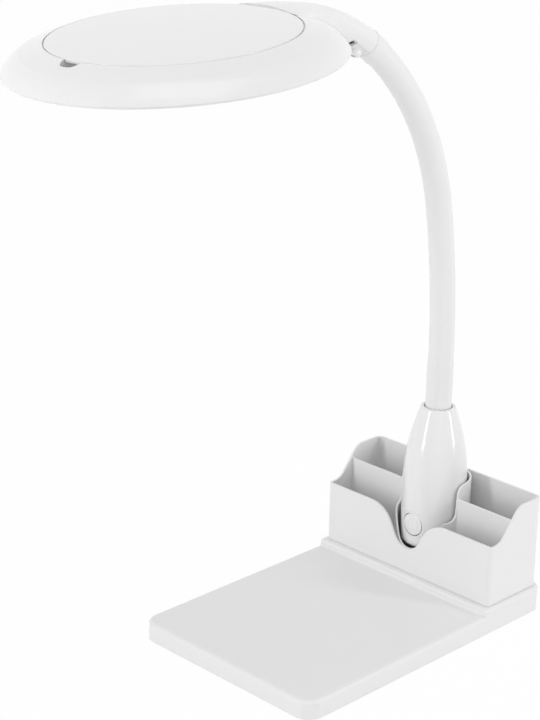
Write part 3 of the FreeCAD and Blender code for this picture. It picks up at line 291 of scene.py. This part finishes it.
class Finish:
    """A material being made for the lamp."""

    def __init__(self, name):
        self.material = bpy.data.materials.new(name)
        self.material.use_nodes = True
        self.tree = self.material.node_tree
        self.tree.nodes.clear()
        self.place = self.node("ShaderNodeTexCoord").outputs["Object"]

    def node(self, kind, inputs=None, **settings):
        """Adds one node to the material."""
        return add(self.tree, kind, inputs, **settings)

    def noise(self, scale, detail, roughness, stretch=None):
        """Noise from 0 to 1 at so many features a metre."""
        place = self.place
        if stretch:
            mapped = self.node("ShaderNodeMapping", {"Vector": place, "Scale": stretch})
            place = mapped.outputs["Vector"]
        made = self.node("ShaderNodeTexNoise", {
            "Vector": place, "Scale": scale, "Detail": detail, "Roughness": roughness})
        return Signal(self.tree, made.outputs["Fac"])

    def blend(self, factor, low, high):
        """A colour between two others."""
        made = self.node("ShaderNodeMix", {
            mix_factor: factor, mix_first_colour: (*low, 1.0), mix_second_colour: (*high, 1.0),
        }, data_type="RGBA")
        return made.outputs[mix_colour_result]

    def bump(self, height, depth):
        """A normal from a height between 0 and 1 and its depth in metres."""
        made = self.node("ShaderNodeBump", {"Height": height, "Distance": depth, "Strength": 1.0})
        return made.outputs["Normal"]

    def surface(self, **inputs):
        """Ends the material in one surface shader."""
        named = {key.replace("_", " "): value for key, value in inputs.items()}
        shader = self.node("ShaderNodeBsdfPrincipled", named)
        self.node("ShaderNodeOutputMaterial", {"Surface": shader.outputs[0]})
        return self.material


def moulded_white(name, colour, roughness, grain_depth, grain_scale, coat=0.0):
    """Moulded white plastic: cloudy tone, handling marks in its gloss and a fine spark-eroded grain."""
    finish = Finish(name)
    clouds = finish.noise(scale=26.0, detail=4.0, roughness=0.55)
    grain = finish.noise(scale=grain_scale, detail=2.0, roughness=0.6)
    smears = finish.noise(scale=60.0, detail=3.0, roughness=0.7, stretch=(1.0, 0.35, 1.0))
    warmth = (0.985, 0.982, 0.976)
    warm = tuple(c * share for c, share in zip(colour, warmth))
    tone = (clouds * 0.7 + grain * 0.3).clamped()
    gloss = roughness + (smears - 0.5) * (roughness * 0.5) + (grain - 0.5) * (roughness * 0.3)
    return finish.surface(
        Base_Color=finish.blend(tone, warm, colour), Roughness=gloss.clamped(),
        Normal=finish.bump(grain, grain_depth), Coat_Weight=coat, Coat_Roughness=0.06, IOR=1.49,
        Subsurface_Weight=0.04, Subsurface_Radius=(0.004, 0.004, 0.004), Subsurface_Scale=0.5)


def soft_sleeve(name, colour):
    """The gooseneck's smooth soft sleeve, matte, with a faint powdery bloom."""
    finish = Finish(name)
    bloom = finish.noise(scale=120.0, detail=5.0, roughness=0.65)
    grain = finish.noise(scale=2600.0, detail=2.0, roughness=0.5)
    dull = tuple(c * 0.97 for c in colour)
    return finish.surface(
        Base_Color=finish.blend(bloom, dull, colour), Roughness=(0.5 + (bloom - 0.5) * 0.14).clamped(),
        Normal=finish.bump(grain, 0.00001), Sheen_Weight=0.08, Sheen_Roughness=0.4, IOR=1.43)


def turned_steel(name, colour, roughness):
    """Steel with fine turning lines and a little tarnish."""
    finish = Finish(name)
    lines = finish.noise(scale=900.0, detail=2.0, roughness=0.5, stretch=(1.0, 1.0, 14.0))
    tarnish = finish.noise(scale=90.0, detail=4.0, roughness=0.6)
    dark = tuple(c * 0.72 for c in colour)
    return finish.surface(
        Base_Color=finish.blend(tarnish, dark, colour), Metallic=1.0,
        Roughness=(roughness + (lines - 0.5) * 0.16).clamped(), Normal=finish.bump(lines, 0.000008))


def cast_metal(name):
    """Raw cast iron, dark and pitted."""
    finish = Finish(name)
    pits = finish.noise(scale=420.0, detail=6.0, roughness=0.7)
    rust = finish.noise(scale=45.0, detail=4.0, roughness=0.6) ** 3.0
    return finish.surface(
        Base_Color=finish.blend(rust, (0.05, 0.05, 0.055), (0.13, 0.07, 0.045)), Metallic=0.7,
        Roughness=(0.55 + (pits - 0.5) * 0.4).clamped(), Normal=finish.bump(pits, 0.0003))


def foam_rubber(name):
    """The dark foam pad under the base, full of small cells."""
    finish = Finish(name)
    cells = finish.node("ShaderNodeTexVoronoi", {
        "Vector": finish.place, "Scale": 900.0}, feature="DISTANCE_TO_EDGE")
    open_cells = Signal(finish.tree, cells.outputs["Distance"])
    return finish.surface(
        Base_Color=finish.blend(open_cells, (0.012, 0.012, 0.013), (0.05, 0.05, 0.052)),
        Roughness=0.92, Normal=finish.bump(open_cells, 0.0003))


def black_plastic(name, roughness):
    """Black moulded plastic or cable jacket."""
    finish = Finish(name)
    grain = finish.noise(scale=1500.0, detail=3.0, roughness=0.6)
    return finish.surface(
        Base_Color=finish.blend(grain, (0.012, 0.012, 0.013), (0.03, 0.03, 0.032)),
        Roughness=(roughness + (grain - 0.5) * 0.2).clamped(), Normal=finish.bump(grain, 0.00002))


def circuit_board(name, mask, copper):
    """A circuit board: solder mask over faint copper tracks."""
    finish = Finish(name)
    tracks = finish.node("ShaderNodeTexBrick", {
        "Vector": finish.place, "Scale": 160.0, "Mortar Size": 0.02,
        "Color1": (0, 0, 0, 1), "Color2": (0, 0, 0, 1), "Mortar": (1, 1, 1, 1)}, offset=0.5)
    line = Signal(finish.tree, tracks.outputs["Fac"])
    return finish.surface(
        Base_Color=finish.blend(line, mask, copper), Roughness=(0.38 + line * 0.08).clamped(),
        Normal=finish.bump(line, 0.00003))


def phosphor(name):
    """The yellow window of a light chip."""
    finish = Finish(name)
    grains = finish.noise(scale=4000.0, detail=2.0, roughness=0.6)
    return finish.surface(
        Base_Color=finish.blend(grains, (0.85, 0.62, 0.12), (0.95, 0.78, 0.25)), Roughness=0.35)


def frosted(name):
    """The frosted diffuser in front of the lights."""
    finish = Finish(name)
    frost = finish.noise(scale=2200.0, detail=3.0, roughness=0.6)
    return finish.surface(
        Base_Color=finish.blend(frost, (0.86, 0.87, 0.86), (0.93, 0.93, 0.92)), Roughness=0.55,
        Transmission_Weight=0.45, IOR=1.3, Normal=finish.bump(frost, 0.00004))


def polished_lens(name):
    """Clear lens glass with a few faint wipe marks."""
    finish = Finish(name)
    wipes = finish.noise(scale=70.0, detail=4.0, roughness=0.6, stretch=(1.0, 0.2, 1.0)) ** 4.0
    return finish.surface(
        Base_Color=(0.985, 0.995, 0.99, 1.0), Roughness=(0.01 + wipes * 0.05).clamped(),
        Transmission_Weight=1.0, IOR=1.49)


shell_tone = (0.84, 0.842, 0.845)
finishes = {
    "shell_white": moulded_white(
        "satin_shell_white", shell_tone, roughness=0.4, grain_depth=0.000012, grain_scale=1500.0),
    "gloss_white": moulded_white(
        "gloss_shell_white", (0.845, 0.848, 0.85), roughness=0.16, grain_depth=0.000003,
        grain_scale=700.0, coat=0.35),
    "tray_white": moulded_white(
        "tray_white", shell_tone, roughness=0.34, grain_depth=0.00001, grain_scale=1700.0),
    "ferrule_white": moulded_white(
        "ferrule_white", shell_tone, roughness=0.36, grain_depth=0.000008, grain_scale=1800.0),
    "sleeve_white": soft_sleeve("soft_sleeve_white", (0.85, 0.852, 0.855)),
    "pad_dark": foam_rubber("foam_pad"),
    "steel": turned_steel("turned_steel", (0.56, 0.57, 0.58), roughness=0.3),
    "ballast_iron": cast_metal("cast_ballast"),
    "inlet_black": black_plastic("black_moulding", roughness=0.35),
    "lead_black": black_plastic("lead_jacket", roughness=0.5),
    "board_green": circuit_board("green_board", mask=(0.01, 0.09, 0.03), copper=(0.03, 0.16, 0.05)),
    "board_white": circuit_board("white_board", mask=(0.72, 0.73, 0.72), copper=(0.62, 0.63, 0.6)),
    "led_yellow": phosphor("phosphor_yellow"),
    "diffuser": frosted("frosted_diffuser"),
    "lens_clear": polished_lens("polished_lens"),
}
slot_of = {part["node"]: part["material_slot"] for part in frame["record"]["subparts"]}


def paint(piece, slot):
    """Gives a piece one of the lamp's finishes."""
    piece.data.materials.clear()
    piece.data.materials.append(finishes[slot])


def settle(piece):
    """Turns a piece's modifiers into plain mesh."""
    graph = bpy.context.evaluated_depsgraph_get()
    graph.update()
    mesh = bpy.data.meshes.new_from_object(piece.evaluated_get(graph))
    piece.modifiers.clear()
    piece.data = mesh


def new_piece(name, bm, slot, body, nodes, angle=smooth_angle, weighted=False, creases=()):
    """Turns a bmesh into a finished piece that rides on a body and stands for CAD nodes."""
    mesh = bpy.data.meshes.new(name)
    bm.to_mesh(mesh)
    bm.free()
    mesh.polygons.foreach_set("use_smooth", [True] * len(mesh.polygons))
    mesh.set_sharp_from_angle(angle=angle)
    for k in creases:
        mesh.edges[k].use_edge_sharp = True
    piece = bpy.data.objects.new(name, mesh)
    bpy.context.scene.collection.objects.link(piece)
    if weighted:
        modifier = piece.modifiers.new("flats_first", "WEIGHTED_NORMAL")
        modifier.keep_sharp = True
        settle(piece)
    paint(piece, slot)
    if body:
        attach(piece, body)
    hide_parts(*nodes)
    return piece


def body_of(node):
    """The body that a CAD node rides on."""
    return frame["nodes"][node]["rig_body"]


def reworked(node, angle, edge_round=0.0, shaped=None):
    """A merged copy of a CAD node, shaded smooth between its real edges and eased along them."""
    bm = bmesh.new()
    source = frame["nodes"][node].data
    corners = [bm.verts.new(v.co) for v in source.vertices]
    for polygon in source.polygons:
        try:
            bm.faces.new([corners[k] for k in polygon.vertices])
        except ValueError:
            # These corners have a face already, and one is enough
            continue
    bmesh.ops.remove_doubles(bm, verts=bm.verts, dist=merge_distance)
    bmesh.ops.dissolve_degenerate(bm, edges=bm.edges, dist=merge_distance)
    if edge_round:
        bmesh.ops.dissolve_limit(bm, angle_limit=flat_angle, verts=bm.verts, edges=bm.edges)
        sharp = [e for e in bm.edges if len(e.link_faces) == 2 and e.calc_face_angle() > angle]
        bmesh.ops.bevel(bm, geom=sharp, offset=edge_round, offset_type="OFFSET",
                        segments=eased_segments, profile=eased_roundness, affect="EDGES", clamp_overlap=True)
    creases = shaped(bm) if shaped else ()
    return new_piece(node + "_skin", bm, slot_of[node], body_of(node), (node,), angle, True, creases)


def flatten_lid(bm):
    """Takes the lid's dome down to the shallow one of the real lamp."""
    from_head = head_matrix()
    to_head = from_head.inverted()
    for v in bm.verts:
        place = to_head @ v.co
        share = 1.0 - min(1.0, (place.x ** 2 + place.y ** 2) / lid_radius ** 2)
        place.z -= lid_flattening * share
        v.co = from_head @ place
    return ()


def in_root(place):
    """Whether a place in the head's own directions is on the outside near the neck's root."""
    return place.y > root_start and abs(place.x) < root_half_width and place.z > root_bottom


def hollow_crease(bm, to_head):
    """Points close together along the hollow crease between neck and ring, to find the nearest."""
    bm.normal_update()
    points = []
    for e in bm.edges:
        if len(e.link_faces) != 2 or e.calc_face_angle_signed() >= -root_crease:
            continue
        if not all(in_root(to_head @ v.co) for v in e.verts):
            continue
        low, high = (v.co.copy() for v in e.verts)
        steps = max(1, math.ceil((high - low).length / root_edge))
        points += [low.lerp(high, k / steps) for k in range(steps + 1)]
    crease = KDTree(len(points))
    for k, point in enumerate(points):
        crease.insert(point, k)
    crease.balance()
    return crease


def divide_near(bm, crease):
    """Divides the long edges beside the crease."""
    reach = root_reach * root_margin
    for _ in range(root_divisions):
        long = []
        for e in bm.edges:
            first, second = (v.co for v in e.verts)
            places = (first, second, (first + second) / 2)
            if e.calc_length() > root_edge and any(crease.find(place)[2] < reach for place in places):
                long.append(e)
        if not long:
            break
        bmesh.ops.subdivide_edges(bm, edges=long, cuts=1)
        bmesh.ops.triangulate(bm, faces=[f for f in bm.faces if len(f.verts) > 3])


def relax_near(bm, crease, to_head):
    """Pulls the corners beside the crease towards their neighbours, most at the crease."""
    pulled = []
    for v in bm.verts:
        distance = crease.find(v.co)[2]
        if distance < root_reach and in_root(to_head @ v.co):
            pulled.append((v, math.sqrt(1.0 - distance / root_reach)))
    for _ in range(root_rounds):
        goals = []
        for v, share in pulled:
            middle = Vector((0, 0, 0))
            for e in v.link_edges:
                middle += e.other_vert(v).co
            goals.append(v.co.lerp(middle / len(v.link_edges), root_pull * share))
        for (v, _), goal in zip(pulled, goals):
            v.co = goal


def on_ridge(place):
    """Whether a place in the head's own directions is on the ridge round the skirt."""
    aside = abs(math.hypot(place.x, place.y) - ridge_radius)
    return aside < ridge_slack and abs(place.z - ridge_height) < ridge_slack


def round_neck_root(bm):
    """Rounds the hollow crease between neck and ring, and finds the ridge round the skirt."""
    to_head = head_matrix().inverted()
    crease = hollow_crease(bm, to_head)
    divide_near(bm, crease)
    relax_near(bm, crease, to_head)
    bm.edges.index_update()
    return [e.index for e in bm.edges if all(on_ridge(to_head @ v.co) for v in e.verts)]


def on_circle(count, radius, height, start=0.0):
    """Points evenly round a circle."""
    turns = [turn * k / count + start for k in range(count)]
    return [(radius * math.cos(a), radius * math.sin(a), height) for a in turns]


def join_rings(bm, first, second):
    """A band of faces between two rings of corners."""
    count = len(first)
    for k in range(count):
        after = (k + 1) % count
        bm.faces.new((first[k], first[after], second[after], second[k]))


def tube(path, start, end, rings, radius, bore):
    """A tube along a path, closed at both ends."""
    bm = bmesh.new()
    loops = []
    turns = [turn * k / ring_sides for k in range(ring_sides)]
    for k in range(rings + 1):
        middle, lean = path(start + (end - start) * k / rings)
        outward = Vector((0, math.cos(lean), math.sin(lean)))
        spokes = [Vector((math.cos(a), 0, 0)) + outward * math.sin(a) for a in turns]
        loops.append([[bm.verts.new(middle + spoke * size) for spoke in spokes] for size in (radius, bore)])
    for near, far in zip(loops, loops[1:]):
        for side in (0, 1):
            join_rings(bm, near[side], far[side])
    join_rings(bm, loops[0][0], loops[0][1])
    join_rings(bm, loops[-1][0], loops[-1][1])
    bmesh.ops.recalc_face_normals(bm, faces=bm.faces)
    return bm


def lathe(profile, sides, matrix):
    """A closed outline of (radius, height) points turned about the vertical axis, then placed."""
    bm = bmesh.new()
    rings = []
    for radius, height in profile:
        if radius < merge_distance:
            rings.append([bm.verts.new((0, 0, height))] * sides)
        else:
            rings.append([bm.verts.new(place) for place in on_circle(sides, radius, height)])
    for near, far in zip(rings, rings[1:] + rings[:1]):
        for k in range(sides):
            after = (k + 1) % sides
            corners = [near[k], near[after], far[after], far[k]]
            unique = list(dict.fromkeys(corners))
            if len(unique) > 2:
                bm.faces.new(unique)
    bmesh.ops.recalc_face_normals(bm, faces=bm.faces)
    bm.transform(matrix)
    return bm


def flexible(name, slot, radius, bore, start, end, nodes, rings):
    """A hose along the arm, in four lengths, each with one joint in its middle."""
    for k in range(bend_count):
        low = start if k == 0 else arm_straight + bend_pitch * k
        high = end if k == bend_count - 1 else arm_straight + bend_pitch * (k + 1)
        bm = tube(arm_point, low, high, rings, radius, bore)
        piece = new_piece("%s_%d" % (name, k + 1), bm, slot, None, nodes)
        place, lean = arm_point(arm_straight + bend_pitch * (k + 0.5))
        reach = Vector((0, -math.sin(lean), math.cos(lean))) * bend_pitch * bend_reach_share
        place - reach
        place + reach
        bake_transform(piece)


def make_arm():
    """The sleeve and the lead inside it."""
    sleeves = ["sleeve_%d" % (k + 1) for k in range(bend_count + 1)]
    flexible("arm_sleeve", "sleeve_white", sleeve_radius, sleeve_radius - sleeve_wall,
             sleeve_start, sleeve_end, sleeves, sleeve_rings)
    flexible("arm_lead_run", "lead_black", lead_radius, lead_bore,
             arm_straight, core_end, ["arm_lead"], lead_rings)


def named_tree(name, sizes):
    """A Geometry Nodes tree with a geometry in and out, named sizes and a material."""
    tree = bpy.data.node_groups.new(name, "GeometryNodeTree")
    tree.interface.new_socket("Geometry", in_out="INPUT", socket_type="NodeSocketGeometry")
    for label, kind, value in sizes:
        socket = tree.interface.new_socket(label, in_out="INPUT", socket_type=kind)
        socket.default_value = value
    tree.interface.new_socket("Material", in_out="INPUT", socket_type="NodeSocketMaterial")
    tree.interface.new_socket("Geometry", in_out="OUTPUT", socket_type="NodeSocketGeometry")
    source = add(tree, "NodeGroupInput")
    sink = add(tree, "NodeGroupOutput")
    return tree, source.outputs, sink.inputs


def finish_tree(tree, geometry, material, sink):
    """Realizes what a tree made, gives it its material and ends the tree."""
    real = add(tree, "GeometryNodeRealizeInstances", {"Geometry": geometry})
    flat = add(tree, "GeometryNodeSetShadeSmooth", {"Geometry": real.outputs[0], "Shade Smooth": False})
    painted = add(tree, "GeometryNodeSetMaterial", {"Geometry": flat.outputs[0], "Material": material})
    tree.links.new(painted.outputs[0], sink["Geometry"])


def screw_tree():
    """Screws with a cross recess, heads down, one on each point."""
    tree, given, sink = named_tree("screw_set", (
        ("Head radius", "NodeSocketFloat", screw_head_radius),
        ("Head height", "NodeSocketFloat", screw_head_height),
        ("Shank radius", "NodeSocketFloat", screw_shank_radius),
        ("Shank length", "NodeSocketFloat", screw_shank_length),
        ("Recess width", "NodeSocketFloat", screw_recess_width),
    ))
    head = add(tree, "GeometryNodeMeshCylinder", {
        "Vertices": screw_head_sides, "Radius": given["Head radius"], "Depth": given["Head height"]})
    half = add(tree, "ShaderNodeMath", {0: given["Head height"], 1: 0.5}, operation="MULTIPLY")
    lift = add(tree, "ShaderNodeCombineXYZ", {"Z": half.outputs[0]})
    head = add(tree, "GeometryNodeTransform", {
        "Geometry": head.outputs["Mesh"], "Translation": lift.outputs[0]})
    long_side = add(tree, "ShaderNodeMath", {
        0: given["Head radius"], 1: screw_recess_length_share}, operation="MULTIPLY")
    cuts = add(tree, "GeometryNodeJoinGeometry")
    for flip in (False, True):
        x, y = (given["Recess width"], long_side.outputs[0])[::-1 if flip else 1]
        size = add(tree, "ShaderNodeCombineXYZ", {"X": x, "Y": y, "Z": given["Head height"]})
        bar = add(tree, "GeometryNodeMeshCube", {"Size": size.outputs[0]})
        tree.links.new(bar.outputs["Mesh"], cuts.inputs[0])
    cut = add(tree, "GeometryNodeMeshBoolean", operation="DIFFERENCE", solver="EXACT")
    tree.links.new(head.outputs[0], cut.inputs["Mesh 1"])
    tree.links.new(cuts.outputs[0], cut.inputs["Mesh 2"])
    shank_half = add(tree, "ShaderNodeMath", {0: given["Shank length"], 1: 0.5}, operation="MULTIPLY")
    shank_lift = add(tree, "ShaderNodeCombineXYZ", {"Z": shank_half.outputs[0]})
    shank = add(tree, "GeometryNodeMeshCylinder", {
        "Vertices": screw_shank_sides, "Radius": given["Shank radius"], "Depth": given["Shank length"]})
    raised = add(tree, "ShaderNodeVectorMath", {
        0: shank_lift.outputs[0], 1: lift.outputs[0]}, operation="ADD")
    shank = add(tree, "GeometryNodeTransform", {
        "Geometry": shank.outputs["Mesh"], "Translation": raised.outputs[0]})
    whole = add(tree, "GeometryNodeJoinGeometry")
    tree.links.new(cut.outputs["Mesh"], whole.inputs[0])
    tree.links.new(shank.outputs[0], whole.inputs[0])
    points = add(tree, "GeometryNodeMeshToPoints", {"Mesh": given["Geometry"]})
    spread = add(tree, "GeometryNodeInstanceOnPoints", {
        "Points": points.outputs[0], "Instance": whole.outputs[0]})
    finish_tree(tree, spread.outputs[0], given["Material"], sink)
    return tree


def led_tree():
    """A ring of light chips, each a white case or its yellow window, hanging under the board."""
    tree, given, sink = named_tree("light_ring", (
        ("Ring radius", "NodeSocketFloat", led_board_inner),
        ("Count", "NodeSocketInt", leds_per_row),
        ("Width", "NodeSocketFloat", led_size),
        ("Height", "NodeSocketFloat", led_height),
        ("Underside", "NodeSocketFloat", led_board_bottom),
        ("Window", "NodeSocketBool", False),
    ))
    ring = add(tree, "GeometryNodeMeshCircle", {
        "Vertices": given["Count"], "Radius": given["Ring radius"]})
    points = add(tree, "GeometryNodeMeshToPoints", {"Mesh": ring.outputs[0]})
    size = add(tree, "ShaderNodeCombineXYZ", {
        "X": given["Width"], "Y": given["Width"], "Z": given["Height"]})
    case = add(tree, "GeometryNodeMeshCube", {"Size": size.outputs[0]})
    window_radius = add(tree, "ShaderNodeMath", {
        0: given["Width"], 1: led_window_share}, operation="MULTIPLY")
    window_height = add(tree, "ShaderNodeMath", {
        0: given["Height"], 1: led_window_rise}, operation="MULTIPLY")
    window = add(tree, "GeometryNodeMeshCylinder", {
        "Vertices": led_window_sides, "Radius": window_radius.outputs[0],
        "Depth": window_height.outputs[0]})
    which = add(tree, "GeometryNodeSwitch", {
        "Switch": given["Window"], "False": case.outputs["Mesh"], "True": window.outputs["Mesh"],
    }, input_type="GEOMETRY")
    place = add(tree, "GeometryNodeInputPosition")
    facing = add(tree, "FunctionNodeAlignRotationToVector", {"Vector": place.outputs[0]}, axis="X")
    spread = add(tree, "GeometryNodeInstanceOnPoints", {
        "Points": points.outputs[0], "Instance": which.outputs[0], "Rotation": facing.outputs[0]})
    drop = add(tree, "ShaderNodeMath", {0: given["Height"], 1: -0.5}, operation="MULTIPLY")
    level = add(tree, "ShaderNodeMath", {0: given["Underside"], 1: drop.outputs[0]}, operation="ADD")
    lift = add(tree, "ShaderNodeCombineXYZ", {"Z": level.outputs[0]})
    moved = add(tree, "GeometryNodeTransform", {
        "Geometry": spread.outputs[0], "Translation": lift.outputs[0]})
    finish_tree(tree, moved.outputs[0], given["Material"], sink)
    return tree


def grown(name, tree, places, sizes, slot, body, nodes, matrix):
    """A piece made by a Geometry Nodes tree on given points, as plain mesh."""
    mesh = bpy.data.meshes.new(name)
    mesh.from_pydata([tuple(p) for p in places], [], [])
    piece = bpy.data.objects.new(name, mesh)
    bpy.context.scene.collection.objects.link(piece)
    modifier = piece.modifiers.new("grown", "NODES")
    modifier.node_group = tree
    for item in tree.interface.items_tree:
        if item.in_out == "INPUT" and item.name in sizes:
            modifier[item.identifier] = sizes[item.name]
        elif item.in_out == "INPUT" and item.name == "Material":
            modifier[item.identifier] = finishes[slot]
    settle(piece)
    piece.data.transform(matrix)
    paint(piece, slot)
    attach(piece, body)
    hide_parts(*nodes)


def make_screws():
    """The screws under the head: round the rim, round the lens and under the lights' board."""
    tree = screw_tree()
    in_head = head_matrix()
    low = -screw_head_height
    keeper_circle = lens_radius + keeper_screw_inset
    board_circle = led_board_inner + board_screw_inset
    half_step = turn / keeper_screw_count / 2
    sets = (
        ("rim_screw_set", "rim_screws", on_circle(rim_screw_count, rim_screw_circle, low)),
        ("keeper_screw_set", "keeper_screws", on_circle(keeper_screw_count, keeper_circle, low, half_step)),
        ("board_screw_set", "led_board_screws",
         on_circle(board_screw_count, board_circle, led_board_bottom + low)),
    )
    for name, node, places in sets:
        grown(name, tree, places, {}, "steel", "head", [node], in_head)


def make_lights():
    """The light chips under the head: white cases and yellow windows."""
    tree = led_tree()
    turned = head_matrix() @ Matrix.Rotation(turn / leds_per_row / 2, 4, "Z")
    width = led_board_outer - led_board_inner
    for row, share in enumerate(led_row_shares):
        radius = led_board_inner + share * width
        for name, slot, window in (("cases", "board_white", False), ("windows", "led_yellow", True)):
            grown("chip_%s_%d" % (name, row + 1), tree, [(0, 0, 0)],
                  {"Ring radius": radius, "Window": window}, slot, "head", ["leds"], turned)


def make_lens():
    """The clear lens, curved on both sides."""
    curve = (lens_radius ** 2 + lens_sag ** 2) / (2 * lens_sag)
    half = []
    for k in range(lens_steps + 1):
        r = lens_radius * k / lens_steps
        half.append((r, lens_edge / 2 + lens_sag - (curve - math.sqrt(curve ** 2 - r ** 2))))
    outline = [(r, lens_middle + rise) for r, rise in half]
    outline += [(r, lens_middle - rise) for r, rise in reversed(half)]
    new_piece("lens_glass", lathe(outline, lens_sides, head_matrix()), "lens_clear", "head", ["lens"])


def power_symbol(front):
    """An open ring with a bar in its gap, in low relief."""
    bm = bmesh.new()
    inner = symbol_radius - symbol_stroke / 2
    outer = symbol_radius + symbol_stroke / 2
    section = ((inner, -symbol_rise), (inner, symbol_rise), (outer, symbol_rise), (outer, -symbol_rise))
    rows = []
    for k in range(symbol_steps + 1):
        a = math.pi / 2 + symbol_gap + (turn - 2 * symbol_gap) * k / symbol_steps
        rows.append([bm.verts.new((r * math.cos(a), r * math.sin(a), height)) for r, height in section])
    for near, far in zip(rows, rows[1:]):
        join_rings(bm, near, far)
    bm.faces.new(rows[0])
    bm.faces.new(rows[-1])
    for v in bmesh.ops.create_cube(bm, size=1.0)["verts"]:
        along = symbol_bar_place_share + v.co.y * symbol_bar_length_share
        v.co = Vector((v.co.x * symbol_stroke, along * symbol_radius, v.co.z * 2 * symbol_rise))
    bmesh.ops.recalc_face_normals(bm, faces=bm.faces)
    bm.transform(front)
    return bm


def make_button():
    """The push button: a cap with an eased rim, open at the back, and a raised power symbol."""
    rounding = button_round * button_round_share
    profile = [(0.0, 0.0), (button_radius - button_round, 0.0), (button_radius - rounding, -rounding),
               (button_radius, -button_round), (button_radius, -button_depth),
               (button_cup_radius, -button_depth), (button_cup_radius, -button_face),
               (button_stem_radius, -button_face), (button_stem_radius, -button_stem_depth),
               (0.0, -button_stem_depth)]
    front = Matrix.Translation(button_centre) @ Matrix.Rotation(math.pi / 2, 4, "X")
    new_piece("button_cap", lathe(profile, button_sides, front), "gloss_white", "button", ["power_button"])
    new_piece("button_symbol", power_symbol(front), "gloss_white", "button", ["power_button"])


def dress_nodes():
    """Gives every CAD node that still shows its finish, and the ones on view an eased copy."""
    shaped = {"head_top_shell": round_neck_root, "lens_lid": flatten_lid}
    for node in ("base_top_shell", "base_bottom_cover", "organiser_tray", "stem_housing", "button_bezel",
                 "lower_ferrule", "upper_ferrule", "head_top_shell", "head_rim_ring", "lens_keeper",
                 "lens_lid", "neck_lower_cover", "diffuser_ring"):
        angle = soft_angles.get(node, smooth_angle)
        reworked(node, angle, eased_edges.get(node, 0.0), shaped.get(node))
    for node, shown in frame["nodes"].items():
        paint(shown, slot_of[node])


def make_spring():
    """The spring behind the button, as a merged smooth copy with a mesh of its own."""
    spring = reworked("button_spring", spring_angle)
    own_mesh(spring)


def seen_directly(tree):
    """1 where the camera sees something straight, or in or through a shiny or clear surface."""
    path = add(tree, "ShaderNodeLightPath")
    seen = Signal(tree, path.outputs["Is Camera Ray"]) + Signal(tree, path.outputs["Is Glossy Ray"])
    return (seen + Signal(tree, path.outputs["Is Transmission Ray"])).clamped()


def make_floor():
    """A pale floor that keeps the lamp's shadow but shows white to the camera."""
    bm = bmesh.new()
    bmesh.ops.create_grid(bm, x_segments=1, y_segments=1, size=floor_size)
    mesh = bpy.data.meshes.new("studio_floor")
    bm.to_mesh(mesh)
    bm.free()
    floor = bpy.data.objects.new("studio_floor", mesh)
    bpy.context.scene.collection.objects.link(floor)
    finish = Finish("pale_floor")
    seen = seen_directly(finish.tree) * floor_whiteness
    paper = finish.node("ShaderNodeBsdfDiffuse", {"Color": floor_paper})
    white = finish.node("ShaderNodeEmission", {"Color": pure_white, "Strength": 1.0})
    mix = finish.node("ShaderNodeMixShader", {0: seen, 1: paper.outputs[0], 2: white.outputs[0]})
    finish.node("ShaderNodeOutputMaterial", {"Surface": mix.outputs[0]})
    mesh.materials.append(finish.material)


def make_world():
    """Even light from all round, and white where it is seen."""
    world = bpy.data.worlds.new("studio")
    bpy.context.scene.world = world
    world.use_nodes = True
    tree = world.node_tree
    tree.nodes.clear()
    level = seen_directly(tree) * (1.0 - ambient_light) + ambient_light
    sky = add(tree, "ShaderNodeBackground", {"Color": pure_white, "Strength": level})
    add(tree, "ShaderNodeOutputWorld", {"Surface": sky.outputs[0]})


def softbox(name, azimuth, distance, height, width, tall, power, aim):
    """A soft lamp at an angle round the lamp, turned to a point."""
    light = bpy.data.lights.new(name, "AREA")
    light.shape = "RECTANGLE"
    light.size = width
    light.size_y = tall
    light.energy = power
    lamp = bpy.data.objects.new(name, light)
    a = math.radians(azimuth)
    lamp.location = Vector((math.sin(a) * distance, -math.cos(a) * distance, height))
    lamp.rotation_euler = (Vector(aim) - lamp.location).to_track_quat("-Z", "Y").to_euler()
    bpy.context.scene.collection.objects.link(lamp)


def make_lamps():
    """Two tall strips that draw the stem's highlights, and a broad light from above."""
    middle = (0.0, 0.05, 0.2)
    softbox("strip_front_left", azimuth=-15.0, distance=3.4, height=0.9,
            width=0.36, tall=2.6, power=36.0, aim=middle)
    softbox("strip_rear_right", azimuth=117.0, distance=3.4, height=0.9,
            width=0.32, tall=2.6, power=36.0, aim=middle)
    softbox("overhead", azimuth=40.0, distance=0.9, height=4.2,
            width=3.0, tall=3.0, power=22.0, aim=(0.0, 0.0, 0.2))


def make_camera():
    """The camera where the photograph was taken from."""
    data = bpy.data.cameras.new("photo_camera")
    data.sensor_width = sensor_size
    data.lens = focal_pixels / picture_height * sensor_size
    data.shift_x = -centre_offset_pixels / picture_height
    data.shift_y = -centre_offset_pixels / picture_height
    camera = bpy.data.objects.new("photo_camera", data)
    azimuth = math.radians(camera_azimuth)
    elevation = math.radians(camera_elevation)
    roll = math.radians(camera_roll)
    level = math.cos(elevation)
    back = Vector((math.sin(azimuth) * level, -math.cos(azimuth) * level, math.sin(elevation)))
    side = Vector((math.cos(azimuth), math.sin(azimuth), 0))
    lift = back.cross(side)
    right = side * math.cos(roll) + lift * math.sin(roll)
    up = lift * math.cos(roll) - side * math.sin(roll)
    turned = Matrix((right, up, back)).transposed().to_4x4()
    camera.matrix_world = Matrix.Translation(camera_place) @ turned
    bpy.context.scene.collection.objects.link(camera)
    bpy.context.scene.camera = camera


make_camera()
make_world()
make_lamps()
make_floor()
dress_nodes()
make_arm()
make_screws()
make_lights()
make_lens()
make_button()
make_spring()

bpy.context.scene.view_settings.view_transform = "Standard"
